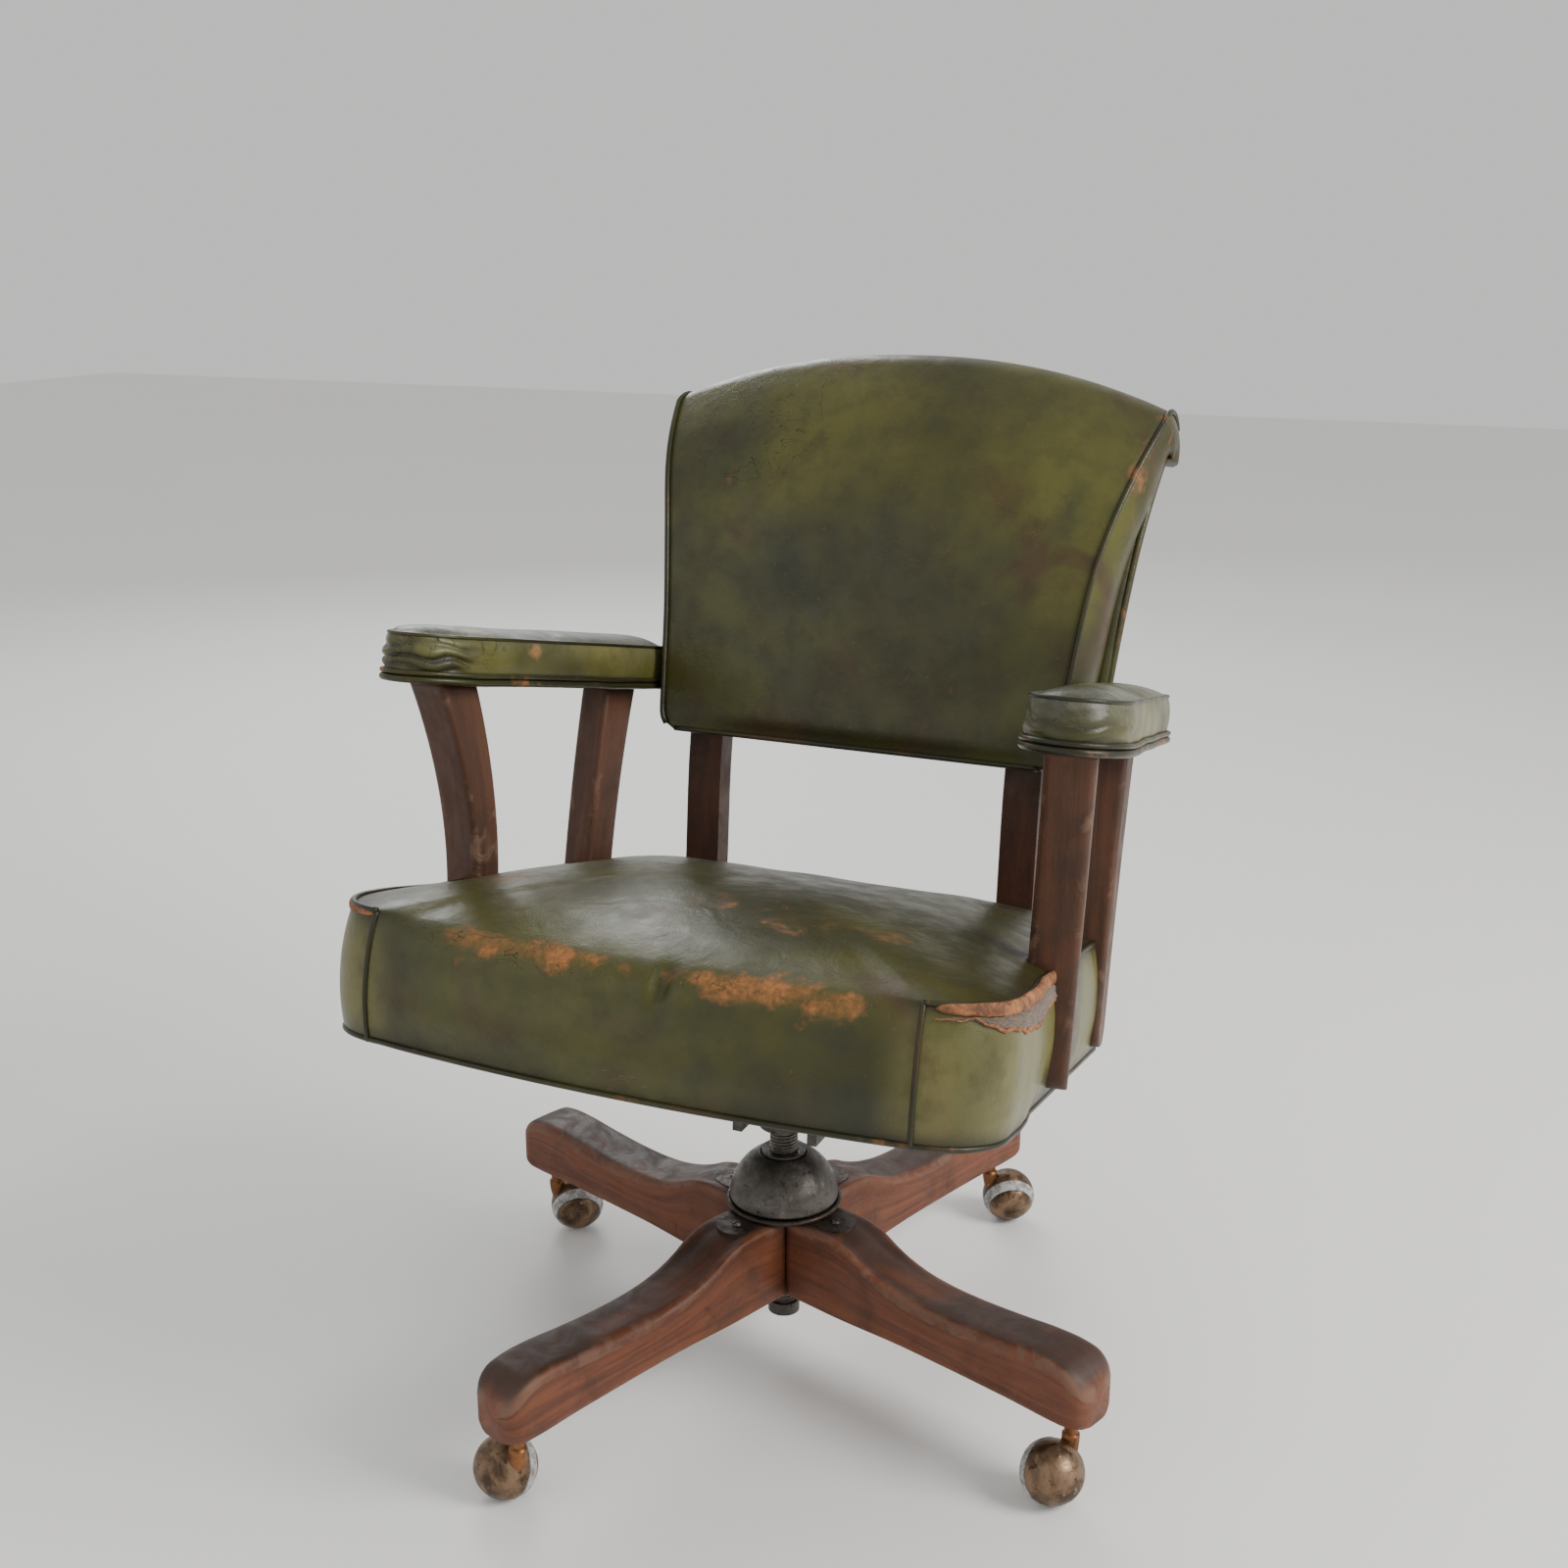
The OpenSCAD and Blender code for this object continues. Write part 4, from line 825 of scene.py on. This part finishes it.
def make_tears(points, out, right, left):
    """The worn front corners. The right one's welt has lost its dye and the boxing has pulled
    away under it, so that wadding shows above a ragged lip. The left one is rubbed through."""
    def strip(span, away, drop, radius, sides, flat):
        """A flattened tube along part of the top seam, out from it and below it."""
        path = points[SEAM_ROW, span] + away * out[span] - UP * np.reshape(drop, (-1, 1))
        return tube_points(laid_back(path), radius, laid_back_way(UP), sides, flat)

    span = slice(right + 2, right + 2 + TEAR_COLUMNS)
    t = np.linspace(0, 1, TEAR_COLUMNS)
    ends = np.sin(math.pi * np.clip(t * 1.04, 0, 1)) ** 0.35
    band = strip(span, 0.003, 0.0022, 0.0056 * ends + 0.0008, 14, 0.55)
    band += 0.0004 * ripple(band, 0.012, 2)[..., None]
    hide("torn_welt", capped(band), TORN)
    gape = np.sin(math.pi * np.clip((t - 0.1) / 0.84, 0, 1)) ** 0.8
    wad = strip(span, 0.0042, 0.0085 + 0.0065 * gape, 0.0088 * gape + 0.0006, 18, 0.46)
    wad += 0.0011 * ripple(wad, 0.01, 5)[..., None] + 0.0006 * ripple(wad, 0.004, 6)[..., None]
    fluff = hide("corner_wadding", capped(wad), WADDING)
    ragged = 0.0012 * np.sin(t * 41) + 0.0009 * np.sin(t * 97 + 1)
    lip = strip(span, 0.0058, 0.0085 + 0.0155 * gape + ragged, 0.0021 * gape + 0.0006, 10, 0.6)
    hide("ragged_lip", capped(lip), TORN)
    span = slice(left - 44, left + 1)
    size = 0.0042 * np.sin(math.pi * np.linspace(0, 1, 45)) ** 0.5 + 0.0008
    hide("rubbed_corner_welt", capped(strip(span, 0.0018, 0.0018, size, 12, 0.55)), TORN)


def laid_back_way(way):
    """A direction, rather than a place, laid back with the seat."""
    return laid_back(way + LEAN_Z * UP) - LEAN_Z * UP


# --- the back
BACK_LOW = 0.561
BACK_RISE = 0.352
ROLL_R = 0.031
BACK_ARCH = 0.034
BOXING = 0.05
SIDE_COLUMNS = 13
FACE_COLUMNS = 65
SEAM_END = 88  # the row behind the top roll at which the side seams stop


def back_y(t):
    """How far rearward the back's face lies at a share t of its height."""
    return 0.103 + 0.022 * t + 0.059 * t**5


def back_half(t):
    """Half width of the back's face at a share t of its height."""
    return 0.192 + 0.05 * (0.35 * t + 0.65 * t**2.2)


def back_rings():
    """Stations up the face, over the top roll and a little way down behind it, each with its
    place, its outward way and its half width."""
    t = np.linspace(0, 1, 64)
    y, z = back_y(t), BACK_LOW + BACK_RISE * t
    dy, dz = np.gradient(y), np.gradient(z)
    length = np.hypot(dy, dz)
    face_out = cols(-dz / length, dy / length)
    tilt = math.atan2(face_out[-1, 1], face_out[-1, 0])
    centre = np.array([y[-1], z[-1]]) - ROLL_R * face_out[-1]
    angle = tilt - np.linspace(0, math.radians(168), 40)[1:]
    roll_out = cols(np.cos(angle), np.sin(angle))
    roll = centre + ROLL_R * roll_out
    place = join(cols(y, z), roll)
    out = join(face_out, roll_out)
    share = join(t, np.full(len(roll), 1.0))
    inner = join(cols(y + BOXING, z), np.broadcast_to(centre, roll.shape))
    blend = smooth(join(t, np.ones(len(roll))), 0.8, 1.0)[:, None]
    inner = inner * (1 - blend) + (centre + np.array([0.004, -0.01])) * blend
    return place, out, share, inner


def make_back():
    """The back cover: at each station a line runs across the crowned face from seam to seam,
    and on each side a boxing runs rearward from the seam, closed behind."""
    place, out, share, inner = back_rings()
    count = len(place)
    half = back_half(share)
    low = np.clip(1 - share * BACK_RISE / 0.02, 0, 1)
    half = half - 0.016 * (1 - np.sqrt(1 - low**2 * 0.98))
    cross = np.linspace(-1, 1, FACE_COLUMNS)
    crown = 0.0105 * (1 - np.abs(cross) ** 2.6)
    lift = smooth(share, 0, 0.06)
    face = place[:, None, :] + (out[:, None, :]
                                * (crown[None, :, None] * (0.25 + 0.75 * lift)[:, None, None]))
    x = half[:, None] * cross[None, :]
    drop = BACK_ARCH * np.abs(cross)[None, :] ** 2.1 * smooth(share, 0.42, 1.0)[:, None]
    flare = smooth(share, 0, 0.3) * 0.004 + 0.01 * (1 - smooth(share, 0.75, 1.0))
    side_t = np.linspace(0, 1, SIDE_COLUMNS + 1)[1:]
    bulge = 0.005 * np.sin(math.pi * side_t)
    sides = []
    for way in (1, -1):
        plan = face[:, -1 if way > 0 else 0][:, None, :]
        path = plan * (1 - side_t[None, :, None]) + inner[:, None, :] * side_t[None, :, None]
        side_x = way * (half[:, None] + flare[:, None] * side_t[None] + bulge[None])
        side_drop = np.broadcast_to(drop[:, :1], side_x.shape)
        sides.append(cols(side_x, path[..., 0], path[..., 1] - side_drop))
    front = cols(x, face[..., 0], face[..., 1] - drop)
    ring = join(sides[1][:, ::-1], front, sides[0], axis=1)
    behind = np.stack([ring[:, -1] * (1 - s) + ring[:, 0] * s for s in np.linspace(0, 1, 9)[1:]],
                      axis=1)
    points = join(ring, behind, axis=1)
    before = np.arange(points.shape[1]) < SIDE_COLUMNS + FACE_COLUMNS
    points[..., 1] += 0.0012 * ripple(points, 0.13, 21) * before
    row = np.arange(count)[:, None]
    x = points[..., 0]
    left_top = bell(x, -0.15, 0.07) * bell(row, 56, 13)
    seam = bell(np.abs(x), 0.24, 0.012) * bell(row, 66, 14)
    wear = 0.45 * seam + 0.5 * bell(x, 0.232, 0.012) * bell(row, 52, 22)
    wear = wear + 0.1 * bell(x, -0.02, 0.07) * bell(row, 58, 6)
    cracks = 0.9 * left_top + 0.25 * bell(row, 84, 8)
    grime = 0.25 * left_top + 0.2 * bell(row, 3, 3)
    closed = capped(points)
    marks = {key: join(value[:1], value, value[-1:]) for key, value in
             (("wear", wear), ("grime", grime), ("cracks", cracks))}
    cover = hide("back_cover", laid_back(closed), GREEN_BACK, marks)
    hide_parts("back_cushion")
    wear = 0.55 * bell(np.arange(SEAM_END + 1), 66, 16)[:, None]
    last_face = SIDE_COLUMNS + FACE_COLUMNS - 1
    for way, column, word in ((1, last_face, "right"), (-1, SIDE_COLUMNS, "left")):
        path = points[1:SEAM_END, column] + np.array([way * 0.0008, 0, 0])
        path[:, 1:] += 0.0006 * out[1:SEAM_END]
        welt("back_seam_" + word, laid_back(path), 0.0025, (1, 0, 0), wear=wear)
    path = points[0, SIDE_COLUMNS:last_face + 1].copy()
    path[:, 2] += 0.0018
    welt("back_lower_seam", laid_back(path), 0.0024, (0, 1, 0))


PANEL_OFF = 0.0625
PANEL_T = 0.0125
PANEL_FOOT = 0.03
PANEL_TOP = 0.955


def make_outside_back():
    """The padded outside panel: a thin cushion that follows the back's sweep behind its board,
    with piping round its edge."""
    t = np.linspace(PANEL_FOOT, PANEL_TOP, 60)
    y, z = back_y(t) + PANEL_OFF, BACK_LOW + BACK_RISE * t
    half = 0.2125 + 0.03 * t**1.3
    ends = np.minimum(1, np.minimum((t - PANEL_FOOT) / 0.05, (PANEL_TOP - t) / 0.04))
    corner = 0.012 * (1 - np.sqrt(1 - (1 - ends) ** 2 * 0.98))
    half = half - corner
    cross = np.linspace(-1, 1, 49)
    puff = PANEL_T * 0.66 + PANEL_T * 0.34 * (1 - np.abs(cross)[None] ** 5) * (ends[:, None] ** 0.4)
    drop = 0.012 * np.abs(cross)[None] ** 2 * smooth(t, 0.5, 0.9)[:, None]
    x = half[:, None] * cross[None]
    near = cols(x, y[:, None], z[:, None] - drop)
    far = near.copy()
    far[..., 1] += puff
    far[..., 1] += 0.0009 * ripple(far, 0.12, 31)
    ring = join(near, far[:, ::-1], near[:, :1], axis=1)
    row = np.arange(len(t) + 2)[:, None]
    marks = {"wear": 0.25 * bell(row, 58, 5), "grime": 0.2 * bell(row, 2, 3),
             "cracks": 0.2 * bell(row, 50, 9)}
    panel = hide("outside_back_cover", laid_back(capped(ring)), GREEN_SIDE, marks)
    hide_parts("back_panel")
    rim = near + (far - near) * 0.45
    loop = join(rim[:, -1], rim[-1, ::-1][1:], rim[::-1, 0][1:], rim[0][1:])
    welt("outside_back_welt", laid_back(along(loop, 300)), 0.004, (0, 1, 0), closed=True,
         wear=0.15, finish=GREEN_SIDE)


# --- the arm pads
ARM_LEN = 0.352
ARM_W = 0.08
ARM_LOW = 0.5975
ARM_MID_Y = -0.036
ARM_MID_X = (FRONT_POST[0] + 0.001 + REAR_POST[0] - 0.002) / 2 + 0.002
ARM_SPLAY = math.radians(6.5)
ARM_SIDE = 0.0405
ARM_UNDER_ROWS = 3
ARM_WALL_ROWS = 30


def arm_outline(count, grow=0.0):
    """An arm pad in plan: a full round front end, straight sides and softer rear corners."""
    x, y0, y1 = ARM_W / 2 + grow, -ARM_LEN / 2 - grow, ARM_LEN / 2 + grow
    nose, heel = 0.06 + grow, 0.018 + grow
    front = arc(0, 0, 1.0, -90, 0, 18) * np.array([x, nose]) + np.array([0, y0 + nose])
    half = join(front, arc(x - heel, y1 - heel, heel, 0, 90), [[0, y1]])
    return along(join(half, half[-2::-1] * np.array([-1, 1])), count)


def make_arm(side, word):
    """An arm pad: rows run from under the board, round the bottom, up the side and over a
    stuffed top. Creases gather at the front end, deeper on the left pad."""
    count = 300
    outline = arm_outline(count, -0.0035)
    normal = inward(outline)
    up = np.linspace(0, 1, ARM_WALL_ROWS)[:, None]
    bulge = 0.004 * np.sin(math.pi * up) ** 0.6
    wall = outline[None] - bulge[..., None] * normal[None]
    wall_z = np.broadcast_to(ARM_LOW + 0.003 + (ARM_SIDE - 0.004) * up, (ARM_WALL_ROWS, count))
    spine = outline * np.array([0.0, 1.0])
    spine[:, 1] = np.clip(outline[:, 1], -ARM_LEN / 2 + 0.034, ARM_LEN / 2 - 0.026)
    shrink = 1 - np.linspace(0, 1, 26)[1:] ** 1.1
    top = spine[None] + (outline - spine)[None] * shrink[:, None, None]
    puff = (1 - np.abs(shrink) ** 2.2)[:, None]
    top_z = np.broadcast_to(ARM_LOW + ARM_SIDE - 0.001 + 0.0085 * puff, top.shape[:2])
    inner = np.stack([spine, spine + (outline - spine) * 0.45, outline + 0.004 * normal])
    inner_z = np.repeat([[ARM_LOW + 0.014], [ARM_LOW + 0.013], [ARM_LOW]], count, axis=1)
    plan = join(inner, wall, top)
    z = join(inner_z, wall_z, top_z)
    points = join(plan, z[..., None], axis=-1)
    row = np.arange(len(points))[:, None]
    nose = smooth(points[..., 1], -0.085, -0.15)
    tear = 1.6 if side < 0 else 0.6
    crease = np.sin((points[..., 2] - ARM_LOW) * 520 + 3.4 * ripple(points, 0.035, 40 + side))
    crease = (np.where(crease < 0, crease, 0.45 * crease)
              * (0.75 + 0.35 * ripple(points, 0.02, 41 + side)))
    side_rows = bell(row, 18, 11)
    out = -join(normal, np.zeros((count, 1)), axis=1)[None]
    points += out * ((0.0016 * crease * nose * tear + 0.0011 * ripple(points, 0.05, 44 + side))
                     * side_rows)[..., None]
    points[..., 2] += (0.0022 * ripple(points, 0.045, 47 + side) * nose * tear
                       + 0.0012 * ripple(points, 0.08, 48 + side)) * smooth(row, 30, 38)
    wear = (0.5 * nose * bell(row, 33, 6)
            + 0.6 * bell(points[..., 1], -0.03, 0.03) * bell(row, 24, 6))
    wear = wear + 0.65 * smooth(ripple(points, 0.06, 50 + side), 0.25, 0.75) * side_rows
    fade = ((0.35 + 0.3 * ripple(points, 0.1, 70 + side)) * smooth(row, 5, 12)
            * smooth(row, 34, 29))
    fade = fade * (1.0 - 0.7 * nose if side < 0 else 0.45)
    greyed = ((0.85 if side > 0 else 0.35) * smooth(row, 14, 36)
              * smooth(ripple(points, 0.09, 72 + side), -0.9, 0.3))
    cracks = (1.3 if side < 0 else 0.5) * smooth(points[..., 1], -0.06, -0.12) * smooth(row, 8, 20)
    grime = (0.45 * smooth(row, 32, 38) + 0.45 * nose * smooth(crease, 0.1, -0.5)
             + 0.2 * bell(row, 4, 3))
    grime = grime + (0.75 * nose * smooth(ripple(points, 0.03, 75), -0.6, 0.3) if side < 0 else 0)

    def put(p):
        p = turned(p, ARM_SPLAY, (ARM_MID_X, ARM_MID_Y, 0))
        return laid_back(p * np.array([side, 1, 1]))

    pad = hide("arm_pad_cover_" + word, put(points), GREEN_ARM,
               {"wear": wear, "grime": grime * (1 - greyed), "cracks": cracks,
                "fade": np.clip(fade, 0, 1), "greyed": greyed})
    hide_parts("arm_pad_" + word)
    at_top = points[ARM_UNDER_ROWS + ARM_WALL_ROWS - 1] + 0.0006 * out[0]
    at_top[-1] = at_top[0]
    welt("arm_top_seam_" + word, put(at_top), 0.0016, (0, 0, 1), closed=True)
    for level, size, name in ((0.0025, 0.0031, "lower"), (0.008, 0.0022, "upper")):
        loop = join(outline - (0.0034 if name == "lower" else 0.0042) * normal,
                               np.full((count, 1), ARM_LOW + level), axis=1)
        loop[:, 2] += 0.0004 * ripple(loop, 0.06, 60 + side)
        loop[-1] = loop[0]
        welt("arm_%s_welt_%s" % (name, word), put(loop), size, (0, 0, 1), closed=True,
             wear=0.5 * nose[0, 0])


# --- hub and works
CUP_Z = 0.15
CUP_BORE = 0.015
DOME_Z = 0.1546
DOME_R = 0.049
SPINDLE_R = 0.0127
NUT_BORE = SPINDLE_R + 0.0003
PITCH = 0.003175
THREAD_DEPTH = 0.0013
SPINDLE_LOW = 0.038
THREAD_TOP = 0.224
COIL_R = 0.015
COIL_WIRE_R = 0.0019
COIL_TURNS = 5.5


def make_dome():
    """The domed nut: half a ball with a rolled foot, a recess on top and a bored middle."""
    foot = arc(DOME_R - 0.003, DOME_Z + 0.003, 0.003, -90, 0, 6)
    ball = arc(0, DOME_Z + 0.0002, DOME_R, 4, 62, 30)
    lip_r = 0.0205
    lip_z = DOME_Z + math.sqrt(DOME_R**2 - lip_r**2)
    profile = join(
        [[NUT_BORE, DOME_Z], [DOME_R - 0.006, DOME_Z]], foot, ball,
        [[lip_r + 0.0012, lip_z - 0.0006], [lip_r, lip_z - 0.0016],
         [lip_r - 0.0006, lip_z - 0.0058], [NUT_BORE, lip_z - 0.0064], [NUT_BORE, DOME_Z]])
    profile[:, 0] = np.clip(profile[:, 0], NUT_BORE, DOME_R)
    piece = surface("domed_nut", revolved(profile, 96), "dome", IRON)
    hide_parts("dome_nut")


def make_cup():
    """The flange that the nut turns on: a shallow dish with a rolled rim and a groove in it."""
    z = CUP_Z
    rim = arc(0.05, z + 0.0022, 0.0022, -90, 150, 12)
    profile = join([[CUP_BORE, z]], [[0.03, z]], rim,
                   [[0.0465, z + 0.0026], [0.044, z + 0.0016], [CUP_BORE, z + 0.0016],
                    [CUP_BORE, z]])
    piece = surface("bearing_dish", revolved(profile, 96), "base", BROWN_IRON)
    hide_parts("bearing_cup")


def make_spindle():
    """The spindle: a core whose radius rises and falls as a truncated wave along a helix, with a
    plain foot and a plain neck."""
    around = np.linspace(0, TAU, 49)
    z = join(np.linspace(SPINDLE_LOW, SPINDLE_LOW + 0.012, 6),
             np.arange(SPINDLE_LOW + 0.0125, THREAD_TOP, PITCH / 9),
             np.linspace(THREAD_TOP + 0.0004, 0.236, 4))
    phase = (z[:, None] / PITCH - around[None] / TAU) % 1
    wave = np.clip(1.35 - 3.4 * np.abs(phase - 0.5), 0, 1)
    threaded = (smooth(z, SPINDLE_LOW + 0.011, SPINDLE_LOW + 0.014)
                * smooth(z, THREAD_TOP, THREAD_TOP - 0.003))
    radius = SPINDLE_R - THREAD_DEPTH * (1 - wave * threaded[:, None]) - 0.0001
    points = cols(radius * np.cos(around), radius * np.sin(around), z[:, None])
    piece = surface("threaded_spindle", capped(points), "screw", STEEL)
    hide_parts("spindle")


def make_spring():
    """The tension spring: a round wire wound on a helix whose first and last turns lie flat."""
    low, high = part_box("tension_spring")
    axis = np.array(bolt_axis, dtype=float)
    foot = np.array(joints["tension_turn"]["pos_m"])
    start = (low[2] - foot[2]) / axis[2] + 0.008
    length = (high[2] - low[2]) / axis[2] - 0.016
    t = np.linspace(0, 1, 240)
    climb = start + length * smooth(t, -0.12, 1.12)
    angle = TAU * COIL_TURNS * t
    first = np.array([1.0, 0, 0])
    second = np.cross(axis, first)
    path = (foot + climb[:, None] * axis
            + COIL_R * (np.cos(angle)[:, None] * first + np.sin(angle)[:, None] * second))
    piece = surface("tension_coil", capped(tube_points(path, COIL_WIRE_R, axis)), None,
                    STEEL)
    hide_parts("tension_spring")
    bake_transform(piece)


# --- casters
BALL_R = 0.027
SPLIT = 0.004  # how far out along the axle the hood ends
HOOD_R = BALL_R - 0.0005
HOOD_T = 0.0019
HOOD_LIP_R = 0.0009


def caster_points(points, k):
    """Takes points made about the axle, with +Z out along it, to caster k's ball."""
    joint = joints["caster_%d_roll" % k]
    way = np.array(joint["axis"], dtype=float)
    way /= np.linalg.norm(way)
    side = np.cross([0, 0, 1.0], way)
    side /= np.linalg.norm(side)
    up = np.cross(way, side)
    return (points[..., :1] * side + points[..., 1:2] * up + points[..., 2:] * way
            + np.array(joint["pos_m"]))


def make_caster(k):
    """A ball caster: a hood that is the larger part of the ball on a bent neck, a pale tread
    ring and the wheel's domed cap."""
    def part(word, profile, body, finish):
        points = caster_points(revolved(profile), k)
        return surface("caster_%d_%s" % (k, word), points, "%s_%d" % (body, k), finish)

    lip_angle = math.degrees(math.asin(SPLIT / HOOD_R))
    lip = arc(math.sqrt(HOOD_R**2 - SPLIT**2) - HOOD_LIP_R, SPLIT, HOOD_LIP_R, 0, 180, 6)
    inner_r = HOOD_R - HOOD_T
    inside = arc(0, 0, inner_r, math.degrees(math.asin(SPLIT / inner_r)), -88, 16)
    profile = join(arc(0, 0, HOOD_R, -90, lip_angle, 30), lip[1:], inside,
                   [[0.0, -HOOD_R + HOOD_T]])
    profile[0, 0] = 0.0
    shell = part("shell", profile, "caster", BRONZE)
    cap = arc(0, 0, BALL_R - 0.0006, 34, 90, 22)
    cap[-1, 0] = 0.0
    step = [[0.0, 0.0055], [0.0175, 0.0055], [0.0175, 0.0146], [0.0216, 0.0147]]
    wheel = part("cap", join(step, cap), "wheel", BRONZE)
    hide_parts("caster_%d_wheel" % k)
    band = arc(0, 0, BALL_R, 11.8, 32.0, 12)
    groove = [[0.02, 0.0142], [0.0185, 0.0135], [0.0185, 0.006], [0.0215, 0.0056]]
    tyre = part("tread", join(band, groove, band[:1]), "wheel", TREAD)
    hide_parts("caster_%d_tyre" % k)
    make_neck(k)


def make_neck(k):
    """The stem, with a neck that swells into the hood."""
    stem = joints["caster_%d_swivel" % k]["pos_m"]
    ball = joints["caster_%d_roll" % k]["pos_m"]
    z = join(np.linspace(0.024, 0.0545, 16), [0.0552, 0.0555, 0.07, 0.1055, 0.106])
    lean = smooth(z, 0.052, 0.024)
    radius = np.where(z < 0.055, 0.0074 + 0.0016 * lean, 0.0055)
    radius[-1] = 0.0045
    x, y = [stem[axis] + 0.3 * (ball[axis] - stem[axis]) * lean for axis in (0, 1)]
    centre = cols(x, y, z)
    angle = np.linspace(0, TAU, 33)
    ring = cols(np.cos(angle), np.sin(angle), 0)
    points = centre[:, None] + radius[:, None, None] * ring[None]
    surface("caster_%d_neck" % k, capped(points), "caster_%d" % k, NECK)
    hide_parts("caster_%d_hood" % k)


# --- materials of CAD nodes
NODE_FINISH = {
    BROWN_IRON: "hub_casting",
    IRON: "hub_screws key_washer spindle_stop_collar tilt_yoke seat_irons",
    STEEL: "caster_sockets bearing_balls yoke_pin tilt_axle iron_bolts tension_bolt spring_washer "
           "post_bolts arm_screws upright_bolts board_screws",
    BRONZE: "tension_knob",
    FRAME_WOOD: "seat_side_rails seat_cross_rails arm_board_right arm_board_left back_uprights "
                "back_board",
    DECK_WOOD: "seat_deck",
    CLOTH: "dust_cover",
}


def finish_nodes():
    """Gives every node that still shows its own procedural finish."""
    for material, names in NODE_FINISH.items():
        for name in names.split():
            materials = frame["nodes"][name].data.materials
            materials.clear()
            materials.append(material)


# --- the chair
make_camera()
make_room()
finish_nodes()
for leg, leg_name in enumerate(LEG_NAMES):
    make_leg(leg_name, BASE_TURN + leg * math.pi / 2)
make_posts()
make_seat()
make_back()
make_outside_back()
make_arm(1, "right")
make_arm(-1, "left")
make_dome()
make_cup()
make_spindle()
make_spring()
for number in range(1, 5):
    make_caster(number)
